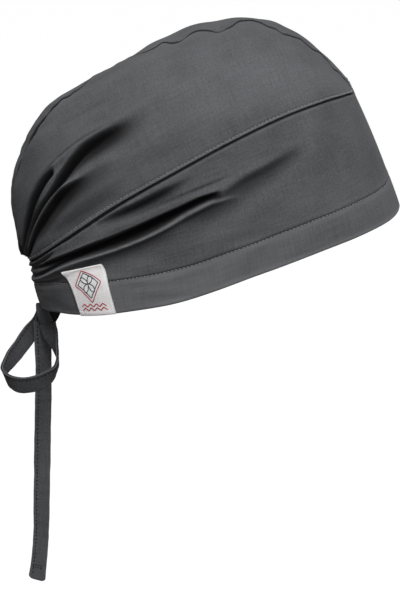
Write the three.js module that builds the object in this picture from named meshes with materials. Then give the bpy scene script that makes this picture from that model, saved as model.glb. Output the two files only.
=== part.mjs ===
import * as THREE from 'three';

// Scrub cap in the pose it has on a head. Millimetres, +X to the forehead, +Y to the
// wearer's left, +Z up. The origin is the centre of the head opening.

const CLOTH = 1.5;
const SEAM_GAP = 0.3;
const SIDE_SEAM_GAP = 0.55;
const CASING_HEIGHT = 17.6;
const CASING_SWELL = 0.6;
const TIE_WIDTH = 9.7;
const TIE_THICKNESS = 1.2;
const LABEL_THICKNESS = 0.8;
const LABEL_STANDOFF = 0.45;

const BAND_COLUMNS = 40;
const CASING_ROWS = 3;
const BAND_ROWS = 10;
const CROWN_COLUMNS = 40;
const CROWN_ROWS = 18;
const CROWN_FIRST_TURN = 3;
const CROWN_LAST_TURN = 178.4;
const LABEL_CELLS = 8;
const LOOP_STEPS = 40;
const TAIL_STEPS = 26;
const KNOT_SIDES = 12;
const KNOT_STEPS = 12;

const BACK_TURN = 180;
const TURN_STEP = 0.4;
const UP_STEP = 0.01;
const FIRST_COLUMN_LEAD = 1.4;
const SIDE_ROW_SPREAD = 0.75;
const BACK_ROW_SPREAD = 0.4;
const BACK_ROWS_FROM = 100;

// How folds come up out of the cloth, and fade at the seams and at the gather.
const SEAM_FADE = 4;
const RIDGE_FADE = 9;
const FULL_RIB = 75;
const NARROWEST_FOLD = 0.3;
const FOLD_GROWN = 0.3;
const FOLD_FALLING = 0.75;
const RUNS_INTO_GATHER = 175;
const GATHER_FROM = 172;
const GATHER_PRESS = 0.6;
const CASING_NARROWS_FROM = 140;
const CASING_BACK_LOSS = 4;

// Left half of the outline, one row per station. turn runs from the forehead, 0, to the
// back, 180. hem and seam are the edges of the band, ridge is the centre line of the crown.
// bulge rounds the band, rise, flare, over and crest shape the rib across the crown.
const STATIONS = [
  { turn: 0, hemX: 101.6, hemY: 0, hemZ: 29.6, seamX: 74.8, seamY: 0, seamZ: 95.2,
    ridgeX: 73.5, ridgeZ: 97, bulge: 1.2, rise: 1, flare: 0, over: 1, crest: 0 },
  { turn: 20, hemX: 95.9, hemY: 27, hemZ: 28.6, seamX: 70.2, seamY: 25, seamZ: 98.4,
    ridgeX: 66.4, ridgeZ: 107.4, bulge: 1.6, rise: 5, flare: 0, over: 12, crest: -1 },
  { turn: 40, hemX: 78.3, hemY: 50, hemZ: 25.5, seamX: 55.9, seamY: 45.5, seamZ: 98.5,
    ridgeX: 49.2, ridgeZ: 122.8, bulge: 2.3, rise: 14, flare: 2, over: 24, crest: 0 },
  { turn: 60, hemX: 51.3, hemY: 65.5, hemZ: 18.5, seamX: 33, seamY: 60.5, seamZ: 93,
    ridgeX: 28.4, ridgeZ: 132.4, bulge: 3, rise: 24, flare: 3, over: 32, crest: 3 },
  { turn: 80, hemX: 18.1, hemY: 74, hemZ: 8, seamX: 4.9, seamY: 69, seamZ: 81,
    ridgeX: 3.5, ridgeZ: 133.2, bulge: 3, rise: 32, flare: 4, over: 40, crest: 4 },
  { turn: 100, hemX: -17.1, hemY: 75, hemZ: -4.6, seamX: -26.8, seamY: 68.5, seamZ: 63.1,
    ridgeX: -22, ridgeZ: 126.2, bulge: 2.5, rise: 38, flare: 6, over: 42, crest: 4 },
  { turn: 120, hemX: -50.2, hemY: 67, hemZ: -13.8, seamX: -58.5, seamY: 59, seamZ: 42.2,
    ridgeX: -49, ridgeZ: 114.8, bulge: 2, rise: 42, flare: 8, over: 40, crest: 3 },
  { turn: 140, hemX: -77.3, hemY: 50, hemZ: -20.8, seamX: -84.3, seamY: 43, seamZ: 20.8,
    ridgeX: -77.6, ridgeZ: 97.6, bulge: 1.5, rise: 40, flare: 12, over: 34, crest: 5 },
  { turn: 155, hemX: -91.5, hemY: 33, hemZ: -24.6, seamX: -97.9, seamY: 27, seamZ: 7.7,
    ridgeX: -101, ridgeZ: 75.6, bulge: 1, rise: 30, flare: 11, over: 28, crest: 8.5 },
  { turn: 168, hemX: -99.2, hemY: 17, hemZ: -27.6, seamX: -105.4, seamY: 13, seamZ: 0,
    ridgeX: -114.3, ridgeZ: 42, bulge: 1, rise: 15, flare: 8, over: 18, crest: 9 },
  { turn: 180, hemX: -101.8, hemY: 0, hemZ: -29.5, seamX: -108.4, seamY: 0, seamZ: -4,
    ridgeX: -112.8, ridgeZ: 0.5, bulge: 1, rise: 3, flare: 1, over: 3, crest: 2 },
];
// Columns that lie level where the two halves meet at the forehead and at the back.
const LEVEL_COLUMNS = ['hemX', 'hemZ', 'seamX', 'seamZ'];

// Folds drawn to the gather at the back. side -1 is the wearer's right. Each one runs
// along the cloth from its first turn to its last, at a share up the rib given at its
// start, middle and end. width and height are in mm, a valley has a height below 0.
const FOLDS = [
  { side: -1, on: 'crown', from: 112, to: 180, start: 0.34, middle: 0.3, end: 0.24,
    width: 6, height: -5 },
  { side: -1, on: 'crown', from: 118, to: 178, start: 0.4, middle: 0.46, end: 0.48,
    width: 4.5, height: 2.2 },
  { side: -1, on: 'crown', from: 132, to: 180, start: 0.38, middle: 0.31, end: 0.36,
    width: 4.6, height: -4.4 },
  { side: -1, on: 'crown', from: 130, to: 180, start: 0.34, middle: 0.23, end: 0.24,
    width: 3.6, height: 2.6 },
  { side: -1, on: 'crown', from: 124, to: 179, start: 0.25, middle: 0.19, end: 0.16,
    width: 3.4, height: 1.8 },
  { side: -1, on: 'crown', from: 120, to: 179, start: 0.19, middle: 0.13, end: 0.1,
    width: 5.4, height: -4.6 },
  { side: -1, on: 'crown', from: 116, to: 160, start: 0.58, middle: 0.59, end: 0.62,
    width: 4, height: -1 },
  { side: -1, on: 'band', from: 92, to: 124, start: 0.885, middle: 0.905, end: 0.89,
    width: 4, height: -1.8 },
  { side: -1, on: 'band', from: 82, to: 180, start: 0.73, middle: 0.785, end: 0.84,
    width: 4, height: -4.4 },
  { side: -1, on: 'band', from: 118, to: 179, start: 0.63, middle: 0.73, end: 0.71,
    width: 3, height: -3 },
  { side: -1, on: 'band', from: 84, to: 180, start: 0.675, middle: 0.64, end: 0.62,
    width: 2.6, height: 2.2 },
  { side: -1, on: 'band', from: 54, to: 132, start: 0.7, middle: 0.61, end: 0.54,
    width: 7, height: -2.8 },
  { side: -1, on: 'band', from: 144, to: 180, start: 0.5, middle: 0.5, end: 0.52,
    width: 2.4, height: -1.6 },
  { side: 1, on: 'crown', from: 106, to: 180, start: 0.42, middle: 0.38, end: 0.3,
    width: 5, height: -4.4 },
  { side: 1, on: 'crown', from: 126, to: 180, start: 0.24, middle: 0.2, end: 0.18,
    width: 4, height: -4.6 },
  { side: 1, on: 'crown', from: 120, to: 178, start: 0.32, middle: 0.28, end: 0.24,
    width: 3.4, height: 2.4 },
  { side: 1, on: 'crown', from: 134, to: 176, start: 0.52, middle: 0.5, end: 0.46,
    width: 4, height: -2 },
  { side: 1, on: 'band', from: 76, to: 180, start: 0.68, middle: 0.72, end: 0.78,
    width: 4.4, height: -4.2 },
  { side: 1, on: 'band', from: 96, to: 180, start: 0.6, middle: 0.62, end: 0.64,
    width: 3, height: 2.2 },
  { side: 1, on: 'band', from: 58, to: 130, start: 0.58, middle: 0.55, end: 0.5,
    width: 7, height: -2.4 },
  { side: 1, on: 'band', from: 104, to: 134, start: 0.88, middle: 0.9, end: 0.88,
    width: 4, height: -1.6 },
];

// Places where the centre seam pulls the crown down, each with its reach along the turn.
const RIDGE_DIPS = [
  { turn: 34, depth: 1, reach: 6 },
  { turn: 53, depth: 1.6, reach: 5 },
  { turn: 84, depth: 2.6, reach: 6 },
  { turn: 104, depth: 2.2, reach: 6 },
  { turn: 117, depth: 1, reach: 5 },
];

// Label on the wearer's right, from its bottom edge under the hem to its top edge.
const LABEL_EDGES = [
  { leftTurn: 139.5, leftUp: -0.012, rightTurn: 124.5, rightUp: -0.006 },
  { leftTurn: 140.2, leftUp: 0.24, rightTurn: 124.9, rightUp: 0.2 },
  { leftTurn: 141.6, leftUp: 0.44, rightTurn: 125.4, rightUp: 0.4 },
  { leftTurn: 144.7, leftUp: 0.61, rightTurn: 126.8, rightUp: 0.53 },
];

// Middle of the looped tie and the direction across it.
const LOOP_PATH = [
  { x: -98.4, y: -7.2, z: -39.4, acrossX: 0.95, acrossY: 0, acrossZ: 0.3 },
  { x: -97.4, y: -9.2, z: -42.6, acrossX: 0.9, acrossY: -0.3, acrossZ: 0.3 },
  { x: -95.5, y: -13, z: -46.1, acrossX: 0.7, acrossY: -0.62, acrossZ: 0.35 },
  { x: -93, y: -18.5, z: -51.7, acrossX: 0.25, acrossY: -0.93, acrossZ: 0.28 },
  { x: -92, y: -23.5, z: -56.7, acrossX: 0, acrossY: -0.75, acrossZ: 0.65 },
  { x: -94.1, y: -28, z: -61.8, acrossX: 0.1, acrossY: -0.4, acrossZ: 0.9 },
  { x: -99.1, y: -31, z: -65.3, acrossX: 0, acrossY: -0.2, acrossZ: 0.98 },
  { x: -106.5, y: -31.5, z: -68.1, acrossX: 0, acrossY: -0.15, acrossZ: 0.98 },
  { x: -114.6, y: -28.5, z: -69.4, acrossX: 0, acrossY: -0.2, acrossZ: 0.97 },
  { x: -120.7, y: -23, z: -68.2, acrossX: -0.1, acrossY: -0.45, acrossZ: 0.9 },
  { x: -123.4, y: -16, z: -65.1, acrossX: -0.2, acrossY: -0.75, acrossZ: 0.6 },
  { x: -119.9, y: -9, z: -60.5, acrossX: -0.6, acrossY: -0.5, acrossZ: 0.6 },
  { x: -113.7, y: -3, z: -53.4, acrossX: -0.8, acrossY: -0.2, acrossZ: 0.55 },
  { x: -107.7, y: 0.9, z: -45.2, acrossX: -0.82, acrossY: -0.1, acrossZ: 0.5 },
  { x: -104.4, y: 1.4, z: -39.6, acrossX: -0.82, acrossY: 0, acrossZ: 0.5 },
];

const TAIL_PATH = [
  { x: -101.8, y: -3.8, z: -38.7, acrossX: 1, acrossY: 0.05, acrossZ: 0 },
  { x: -101.5, y: -3.5, z: -53.4, acrossX: 0.97, acrossY: 0.22, acrossZ: 0 },
  { x: -101.4, y: -3, z: -69.9, acrossX: 0.92, acrossY: 0.38, acrossZ: 0 },
  { x: -101.9, y: -3, z: -86.9, acrossX: 0.95, acrossY: 0.3, acrossZ: 0 },
  { x: -102.6, y: -3, z: -107.8, acrossX: 1, acrossY: 0, acrossZ: 0 },
  { x: -103.2, y: -3, z: -130, acrossX: 0.99, acrossY: -0.15, acrossZ: 0 },
  { x: -103.8, y: -3, z: -148.7, acrossX: 0.97, acrossY: -0.22, acrossZ: 0 },
  { x: -104.3, y: -3, z: -167.4, acrossX: 0.94, acrossY: -0.34, acrossZ: 0 },
  { x: -105.5, y: -3, z: -183.2, acrossX: 0.93, acrossY: -0.36, acrossZ: 0 },
  { x: -107.5, y: -3, z: -198.9, acrossX: 0.97, acrossY: -0.2, acrossZ: -0.08 },
];

// Knot and the two tie ends that come to it out of the casing, as sections along it.
const KNOT_SECTIONS = [
  { x: -90.6, y: -3, z: -21, across: 4.2, deep: 1.2 },
  { x: -91.8, y: -3.4, z: -27.5, across: 4.4, deep: 1.5 },
  { x: -94.4, y: -4.2, z: -33.2, across: 4.3, deep: 2.9 },
  { x: -97.8, y: -5, z: -34.8, across: 4.2, deep: 3.8 },
  { x: -101.2, y: -5.2, z: -33.9, across: 4.3, deep: 3.9 },
  { x: -104.2, y: -5.2, z: -32.8, across: 3.4, deep: 2.6 },
];

function clamp(value, low, high) {
  return Math.min(high, Math.max(low, value));
}

function ease(value, from, to) {
  const t = clamp((value - from) / (to - from), 0, 1);
  return t * t * (3 - 2 * t);
}

function slopes(rows, name) {
  const steps = [];
  for (let i = 0; i + 1 < rows.length; i += 1) {
    const width = rows[i + 1].turn - rows[i].turn;
    steps.push({ width, slope: (rows[i + 1][name] - rows[i][name]) / width });
  }
  const inner = steps.slice(1).map((next, i) => {
    const last = steps[i];
    return (last.slope * next.width + next.slope * last.width) / (last.width + next.width);
  });
  if (LEVEL_COLUMNS.includes(name)) {
    return [0, ...inner, 0];
  }
  const first = 1.5 * steps[0].slope - 0.5 * inner[0];
  const end = 1.5 * steps.at(-1).slope - 0.5 * inner.at(-1);
  return [first, ...inner, end];
}

const SLOPES = {};
for (const name of Object.keys(STATIONS[0])) {
  SLOPES[name] = slopes(STATIONS, name);
}

// One column of the station table at any turn, along a smooth curve.
function station(name, turn) {
  let i = 0;
  while (i + 2 < STATIONS.length && STATIONS[i + 1].turn <= turn) {
    i += 1;
  }
  const width = STATIONS[i + 1].turn - STATIONS[i].turn;
  const f = (turn - STATIONS[i].turn) / width;
  const g = 1 - f;
  return (1 + 2 * f) * g * g * STATIONS[i][name]
    + f * g * g * width * SLOPES[name][i]
    + f * f * (3 - 2 * f) * STATIONS[i + 1][name]
    - f * f * g * width * SLOPES[name][i + 1];
}

function hemPoint(turn) {
  return new THREE.Vector3(station('hemX', turn), station('hemY', turn), station('hemZ', turn));
}

function seamPoint(turn) {
  return new THREE.Vector3(
    station('seamX', turn),
    station('seamY', turn),
    station('seamZ', turn),
  );
}

function ridgePoint(turn) {
  return new THREE.Vector3(station('ridgeX', turn), 0, station('ridgeZ', turn));
}

function along(pointAt, turn) {
  return pointAt(turn + TURN_STEP).sub(pointAt(turn - TURN_STEP)).normalize();
}

function uprightAt(turn) {
  return seamPoint(turn).sub(hemPoint(turn)).normalize();
}

function bandBase(turn, up) {
  const hem = hemPoint(turn);
  const seam = seamPoint(turn);
  const out = along(hemPoint, turn).cross(uprightAt(turn)).normalize();
  const swell = station('bulge', turn) * 4 * up * (1 - up);
  return hem.lerp(seam, up).addScaledVector(out, swell);
}

// Height of the crown's centre line above its smooth course, out of the cap.
function ridgeDip(turn) {
  let sum = 0;
  for (const dip of RIDGE_DIPS) {
    sum -= dip.depth * Math.exp(-(((turn - dip.turn) / dip.reach) ** 2));
  }
  return sum;
}

function crownRib(turn) {
  const seam = seamPoint(turn);
  const ridge = ridgePoint(turn);
  const upright = uprightAt(turn);
  const out = along(seamPoint, turn).cross(upright).normalize();
  const course = along(ridgePoint, turn);
  const ridgeOut = new THREE.Vector3(course.z, 0, -course.x);
  const low = seam.clone()
    .addScaledVector(upright, station('rise', turn))
    .addScaledVector(out, station('flare', turn));
  const high = ridge.clone().addScaledVector(ridgeOut, station('crest', turn));
  high.y += station('over', turn);
  ridge.addScaledVector(ridgeOut, ridgeDip(turn));
  return [seam, low, high, ridge];
}

function crownBase(turn, up) {
  return new THREE.CubicBezierCurve3(...crownRib(turn)).getPoint(up);
}

function ribLength(on, turn) {
  if (on === 'band') {
    return hemPoint(turn).distanceTo(seamPoint(turn));
  }
  const [a, b, c, d] = crownRib(turn);
  const legs = a.distanceTo(b) + b.distanceTo(c) + c.distanceTo(d);
  return (legs + a.distanceTo(d)) / 2;
}

function casingShare(turn) {
  const loss = CASING_BACK_LOSS * ease(turn, CASING_NARROWS_FROM, BACK_TURN);
  return (CASING_HEIGHT - loss) / ribLength('band', turn);
}

// Height of all folds of one side at a place on the cloth, out of the cap.
function foldHeight(side, on, turn, up) {
  const length = ribLength(on, turn);
  const narrow = clamp(length / FULL_RIB, NARROWEST_FOLD, 1);
  let sum = 0;
  for (const fold of FOLDS) {
    if (fold.side !== side || fold.on !== on || turn < fold.from || turn > fold.to) {
      continue;
    }
    const run = (turn - fold.from) / (fold.to - fold.from);
    const centre = fold.start * (1 - run) * (1 - 2 * run)
      + fold.middle * 4 * run * (1 - run)
      + fold.end * run * (2 * run - 1);
    const open = fold.to > RUNS_INTO_GATHER ? 1 : 1 - ease(run, FOLD_FALLING, 1);
    const off = (up - centre) * length / (fold.width * narrow);
    sum += fold.height * narrow * ease(run, 0, FOLD_GROWN) * open * Math.exp(-off * off);
  }
  const gather = 1 - GATHER_PRESS * ease(turn, GATHER_FROM, BACK_TURN);
  const low = on === 'crown' ? ease(up * length, 0, SEAM_FADE) : 1;
  const fade = on === 'crown' ? RIDGE_FADE : SEAM_FADE;
  return sum * gather * low * ease((1 - up) * length, 0, fade);
}

function casingSwell(turn, up) {
  const share = up / casingShare(turn);
  return share < 1 ? CASING_SWELL * Math.sqrt(1 - Math.max(share, 0) ** 2) : 0;
}

// Outside face of the cloth, or a face set a distance in from it, on either side.
function clothPoint(side, on, turn, up, inward) {
  const base = on === 'band' ? bandBase : crownBase;
  const around = base(turn + TURN_STEP, up).sub(base(turn - TURN_STEP, up));
  const upwards = base(turn, up + UP_STEP).sub(base(turn, up - UP_STEP));
  const out = around.cross(upwards).normalize();
  let height = foldHeight(side, on, turn, up) - inward;
  if (on === 'band') {
    const swell = casingSwell(turn, up);
    height += inward > 0 ? -swell : swell;
  }
  const point = base(turn, up).addScaledVector(out, height);
  point.y *= side;
  return point;
}

// Closed body from an outer and an inner grid of points, grid[column][row].
function wallGeometry(outer, inner, closedRound) {
  const columns = outer.length;
  const rows = outer[0].length;
  const points = [...outer.flat(), ...inner.flat()];
  const at = (layer, i, j) => layer * columns * rows + (i % columns) * rows + j;
  const faces = [];
  // A quad is cut along its shorter diagonal, which follows the folds.
  const quad = (a, b, c, d) => {
    if (points[a].distanceTo(points[c]) <= points[b].distanceTo(points[d])) {
      faces.push(a, b, c, a, c, d);
    } else {
      faces.push(b, c, d, b, d, a);
    }
  };
  const spans = closedRound ? columns : columns - 1;
  for (let i = 0; i < spans; i += 1) {
    for (let j = 0; j + 1 < rows; j += 1) {
      quad(at(0, i, j), at(0, i + 1, j), at(0, i + 1, j + 1), at(0, i, j + 1));
      quad(at(1, i, j), at(1, i, j + 1), at(1, i + 1, j + 1), at(1, i + 1, j));
    }
    quad(at(0, i, 0), at(1, i, 0), at(1, i + 1, 0), at(0, i + 1, 0));
    quad(at(0, i, rows - 1), at(0, i + 1, rows - 1), at(1, i + 1, rows - 1), at(1, i, rows - 1));
  }
  if (!closedRound) {
    const last = columns - 1;
    for (let j = 0; j + 1 < rows; j += 1) {
      quad(at(0, 0, j), at(0, 0, j + 1), at(1, 0, j + 1), at(1, 0, j));
      quad(at(0, last, j), at(1, last, j), at(1, last, j + 1), at(0, last, j + 1));
    }
  }
  return facingOut(points, faces);
}

function facingOut(points, faces) {
  let volume = 0;
  for (let i = 0; i < faces.length; i += 3) {
    const [a, b, c] = [points[faces[i]], points[faces[i + 1]], points[faces[i + 2]]];
    volume += a.dot(b.clone().cross(c));
  }
  if (volume < 0) {
    faces.reverse();
  }
  const geometry = new THREE.BufferGeometry().setFromPoints(points);
  geometry.setIndex(faces);
  geometry.computeVertexNormals();
  return geometry;
}

function grid(columns, rows, pointAt) {
  return columns.map((turn) => rows(turn).map((up) => pointAt(turn, up)));
}

function evenly(from, to, steps) {
  return Array.from({ length: steps + 1 }, (_, i) => from + (to - from) * i / steps);
}

function bandRows(turn) {
  const share = casingShare(turn);
  return [
    ...evenly(0, share, CASING_ROWS),
    ...evenly(share, 1, BAND_ROWS).slice(1),
  ];
}

// The band goes once round: down the left side to the back, then up the right side.
function bandGeometry() {
  const left = evenly(0, BACK_TURN, BAND_COLUMNS);
  const right = left.slice(1, -1).reverse();
  const face = (inward) => [
    ...grid(left, bandRows, (turn, up) => clothPoint(1, 'band', turn, up, inward)),
    ...grid(right, bandRows, (turn, up) => clothPoint(-1, 'band', turn, up, inward)),
  ];
  return wallGeometry(face(0), face(CLOTH), true);
}

// Columns lie closer towards the back and rows closer near the side seam, for the folds.
function crownColumns() {
  const span = CROWN_LAST_TURN - CROWN_FIRST_TURN;
  return evenly(0, 1, CROWN_COLUMNS).map((f) => (
    CROWN_FIRST_TURN + span * f * (FIRST_COLUMN_LEAD + (1 - FIRST_COLUMN_LEAD) * f)
  ));
}

function crownRows(turn) {
  const first = SIDE_SEAM_GAP / ribLength('crown', turn);
  const back = ease(turn, BACK_ROWS_FROM, BACK_TURN);
  const spread = SIDE_ROW_SPREAD + (BACK_ROW_SPREAD - SIDE_ROW_SPREAD) * back;
  return evenly(0, 1, CROWN_ROWS).map((f) => (
    first + (1 - first) * f * (spread + (1 - spread) * f)
  ));
}

function crownGeometry(side) {
  const face = (inward) => grid(crownColumns(), crownRows, (turn, up) => {
    const point = clothPoint(side, 'crown', turn, up, inward);
    point.y = side * Math.max(side * point.y, SEAM_GAP / 2);
    return point;
  });
  return wallGeometry(face(0), face(CLOTH), false);
}

function labelGeometry() {
  const curve = (turnName, upName) => new THREE.SplineCurve(
    LABEL_EDGES.map((edge) => new THREE.Vector2(edge[turnName], edge[upName])),
  );
  const left = curve('leftTurn', 'leftUp');
  const right = curve('rightTurn', 'rightUp');
  const cells = evenly(0, 1, LABEL_CELLS);
  const face = (standoff) => cells.map((across) => cells.map((up) => {
    const place = left.getPoint(up).lerp(right.getPoint(up), across);
    return clothPoint(-1, 'band', place.x, place.y, -standoff);
  }));
  const top = LABEL_STANDOFF + LABEL_THICKNESS;
  return wallGeometry(face(top), face(LABEL_STANDOFF), false);
}

// Flat tie swept along a path table, TIE_WIDTH across and TIE_THICKNESS thick.
function tieGeometry(rows, steps) {
  const path = new THREE.CatmullRomCurve3(rows.map((r) => new THREE.Vector3(r.x, r.y, r.z)));
  const roll = new THREE.CatmullRomCurve3(
    rows.map((r) => new THREE.Vector3(r.acrossX, r.acrossY, r.acrossZ)),
  );
  const outer = [];
  const inner = [];
  for (const t of evenly(0, 1, steps)) {
    const centre = path.getPoint(t);
    const tangent = path.getTangent(t);
    const face = tangent.clone().cross(roll.getPoint(t)).normalize();
    const across = face.clone().cross(tangent).normalize();
    const corner = (wide, thick) => centre.clone()
      .addScaledVector(across, wide * TIE_WIDTH / 2)
      .addScaledVector(face, thick * TIE_THICKNESS / 2);
    outer.push([corner(-1, 1), corner(1, 1)]);
    inner.push([corner(-1, -1), corner(1, -1)]);
  }
  return wallGeometry(outer, inner, false);
}

function knotGeometry() {
  const rows = KNOT_SECTIONS;
  const path = new THREE.CatmullRomCurve3(rows.map((r) => new THREE.Vector3(r.x, r.y, r.z)));
  const size = new THREE.CatmullRomCurve3(
    rows.map((r) => new THREE.Vector3(r.across, r.deep, 0)),
  );
  const side = new THREE.Vector3(0, 1, 0);
  const points = [];
  const faces = [];
  for (const t of evenly(0, 1, KNOT_STEPS)) {
    const centre = path.getPoint(t);
    const deep = path.getTangent(t).cross(side).normalize();
    const half = size.getPoint(t);
    for (let k = 0; k < KNOT_SIDES; k += 1) {
      const angle = 2 * Math.PI * k / KNOT_SIDES;
      points.push(centre.clone()
        .addScaledVector(side, half.x * Math.cos(angle))
        .addScaledVector(deep, half.y * Math.sin(angle)));
    }
  }
  const at = (i, k) => i * KNOT_SIDES + (k % KNOT_SIDES);
  for (let i = 0; i < KNOT_STEPS; i += 1) {
    for (let k = 0; k < KNOT_SIDES; k += 1) {
      faces.push(at(i, k), at(i, k + 1), at(i + 1, k + 1));
      faces.push(at(i, k), at(i + 1, k + 1), at(i + 1, k));
    }
  }
  for (let k = 1; k + 1 < KNOT_SIDES; k += 1) {
    faces.push(at(0, 0), at(0, k + 1), at(0, k));
    faces.push(at(KNOT_STEPS, 0), at(KNOT_STEPS, k), at(KNOT_STEPS, k + 1));
  }
  return facingOut(points, faces);
}

function cloth(name, colour) {
  return new THREE.MeshStandardMaterial({ name, color: colour, roughness: 0.85, metalness: 0 });
}

function piece(name, geometry, material) {
  const mesh = new THREE.Mesh(geometry, material);
  mesh.name = name;
  return mesh;
}

const cap = new THREE.Group();
cap.name = 'scrub_cap';
cap.add(piece('crown_right', crownGeometry(-1), cloth('crown_right_cotton', 0x5b5c60)));
cap.add(piece('crown_left', crownGeometry(1), cloth('crown_left_cotton', 0x5b5c60)));
cap.add(piece('band', bandGeometry(), cloth('band_cotton', 0x5a5b5f)));
cap.add(piece('label', labelGeometry(), cloth('label_satin', 0xe4e2df)));
cap.add(piece('knot', knotGeometry(), cloth('knot_cotton', 0x58595d)));
cap.add(piece('tie_loop', tieGeometry(LOOP_PATH, LOOP_STEPS), cloth('loop_cotton', 0x5a5b5f)));
cap.add(piece('tie_tail', tieGeometry(TAIL_PATH, TAIL_STEPS), cloth('tail_cotton', 0x5a5b5f)));

export default cap;
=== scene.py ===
import math

import bpy
import numpy as np
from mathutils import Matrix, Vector


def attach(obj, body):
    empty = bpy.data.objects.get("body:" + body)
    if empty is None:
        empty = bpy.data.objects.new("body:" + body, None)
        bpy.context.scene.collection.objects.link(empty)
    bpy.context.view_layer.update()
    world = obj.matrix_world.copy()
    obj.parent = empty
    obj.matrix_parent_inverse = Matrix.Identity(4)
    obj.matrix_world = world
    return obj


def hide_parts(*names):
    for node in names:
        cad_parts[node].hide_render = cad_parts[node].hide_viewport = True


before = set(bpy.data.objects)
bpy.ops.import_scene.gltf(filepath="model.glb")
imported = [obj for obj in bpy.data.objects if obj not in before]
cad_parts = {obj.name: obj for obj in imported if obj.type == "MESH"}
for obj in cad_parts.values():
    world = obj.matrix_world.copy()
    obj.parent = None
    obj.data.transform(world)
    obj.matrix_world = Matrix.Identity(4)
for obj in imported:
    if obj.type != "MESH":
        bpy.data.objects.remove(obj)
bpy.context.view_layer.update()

# Scrub cap on an unseen head. +X to the forehead, +Y to the wearer's left, +Z up.
# Shape tables and shape functions are in millimetres, objects are made in metres.

mm = 0.001
print("frame loaded,", len(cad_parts), "pieces to dress")

view = {
    "pixelsPerMetre": 1750.0,  # at the origin's depth
    "originPixel": (219.5, 254.0),
    "imageSize": (400, 600),
    "elevation": math.radians(16.5),
    "distance": 1.6,
    "sensor": 36.0,
}


def addCamera(v):
    wide, tall = v["imageSize"]
    right = (wide / 2 - v["originPixel"][0]) / v["pixelsPerMetre"]
    rise = (v["originPixel"][1] - tall / 2) / v["pixelsPerMetre"]
    sine, cosine = math.sin(v["elevation"]), math.cos(v["elevation"])
    target = Vector((right, rise * sine, rise * cosine))
    data = bpy.data.cameras.new("photoCamera")
    data.sensor_width = v["sensor"]
    data.lens = v["sensor"] * v["distance"] * v["pixelsPerMetre"] / tall
    camera = bpy.data.objects.new("photoCamera", data)
    camera.location = target + v["distance"] * Vector((0, -cosine, sine))
    camera.rotation_euler = (math.pi / 2 - v["elevation"], 0, 0)
    bpy.context.scene.collection.objects.link(camera)
    bpy.context.scene.camera = camera


addCamera(view)
print("camera placed")


# small helpers on arrays of points

def unit(v):
    return v / np.maximum(np.linalg.norm(v, axis=-1, keepdims=True), 1e-12)


def ease(value, start, end):
    t = np.clip((value - start) / (end - start), 0, 1)
    return t * t * (3 - 2 * t)


def bell(distance, width):
    return np.exp(-(distance / width) ** 2)


def slopesOf(xs, ys, level=False):
    width = np.diff(xs)
    slope = np.diff(ys) / width
    inner = (slope[:-1] * width[1:] + slope[1:] * width[:-1]) / (width[1:] + width[:-1])
    if level:
        return np.concatenate([[0], inner, [0]])
    return np.concatenate([[1.5 * slope[0] - 0.5 * inner[0]], inner, [1.5 * slope[-1] - 0.5 * inner[-1]]])


def smoothAt(xs, ys, slope, x):
    i = np.clip(np.searchsorted(xs, x, side="right") - 1, 0, len(xs) - 2)
    width = xs[i + 1] - xs[i]
    f = (x - xs[i]) / width
    g = 1 - f
    return ((1 + 2 * f) * g * g * ys[i] + f * g * g * width * slope[i]
            + f * f * (3 - 2 * f) * ys[i + 1] - f * f * g * width * slope[i + 1])


def throughPoints(xs, ys, x):
    xs, ys = np.asarray(xs, float), np.asarray(ys, float)
    x = np.clip(x, xs[0], xs[-1])
    if len(xs) < 3:
        return np.interp(x, xs, ys)
    return smoothAt(xs, ys, slopesOf(xs, ys), x)


def evenRoute(rows, step):
    # smooth course through the rows of a table, resampled at even steps
    rows = np.asarray(rows, float)
    leg = np.sqrt(np.linalg.norm(np.diff(rows[:, :3], axis=0), axis=1))
    knots = np.concatenate([[0], np.cumsum(leg)])
    fine = np.linspace(0, knots[-1], 40 * len(rows))
    dense = np.stack([throughPoints(knots, rows[:, k], fine) for k in range(rows.shape[1])], 1)
    run = np.concatenate([[0], np.cumsum(np.linalg.norm(np.diff(dense[:, :3], axis=0), axis=1))])
    count = max(2, int(round(run[-1] / step)) + 1)
    at = np.linspace(0, run[-1], count)
    return np.stack([np.interp(at, run, dense[:, k]) for k in range(rows.shape[1])], 1), run[-1]


def ripple(seed, count, low, high, *coords):
    # sum of seeded waves over the given coordinates, wavelengths from low to high
    rng = np.random.default_rng(seed)
    total = 0
    for _ in range(count):
        wave = rng.uniform(low, high)
        direction = rng.normal(size=len(coords))
        direction /= np.linalg.norm(direction)
        phase = rng.uniform(0, 2 * np.pi)
        total = total + np.sin(2 * np.pi * sum(d * c for d, c in zip(direction, coords)) / wave + phase)
    return total / math.sqrt(count)


def wrinkle(row, seed, along, *across):
    # a row is what it adds to the seed, number of waves, shortest and longest wave, height and
    # squeeze of the first coordinate
    add, count, low, high, height, squeeze = row
    return height * ripple(seed + add, count, low, high, along * squeeze, *across)


def rolls(rows, distance):
    # a row is height, place and half width of a roll that runs beside a line
    return sum(height * bell(distance - place, reach) for height, place, reach in rows)


def newObject(name, points, faces, material, uvs=None, wearAndLight=None, paintedShade=None):
    # points in millimetres, uvs one pair per face corner, wear with painted light and painted shade one
    # value per point
    mesh = bpy.data.meshes.new(name)
    mesh.from_pydata((np.asarray(points) * mm).tolist(), [], [list(face) for face in faces])
    if uvs is not None:
        layer = mesh.uv_layers.new(name="weave")
        layer.data.foreach_set("uv", np.asarray(uvs, np.float32).ravel())
    for tag, values in (("wearAndLight", wearAndLight), ("paintedShade", paintedShade)):
        if values is not None:
            layer = mesh.attributes.new(tag, "FLOAT", "POINT")
            layer.data.foreach_set("value", np.asarray(values, np.float32))
    mesh.polygons.foreach_set("use_smooth", [True] * len(mesh.polygons))
    mesh.materials.append(material)
    mesh.update()
    piece = bpy.data.objects.new(name, mesh)
    bpy.context.scene.collection.objects.link(piece)
    return piece


# materials

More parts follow.
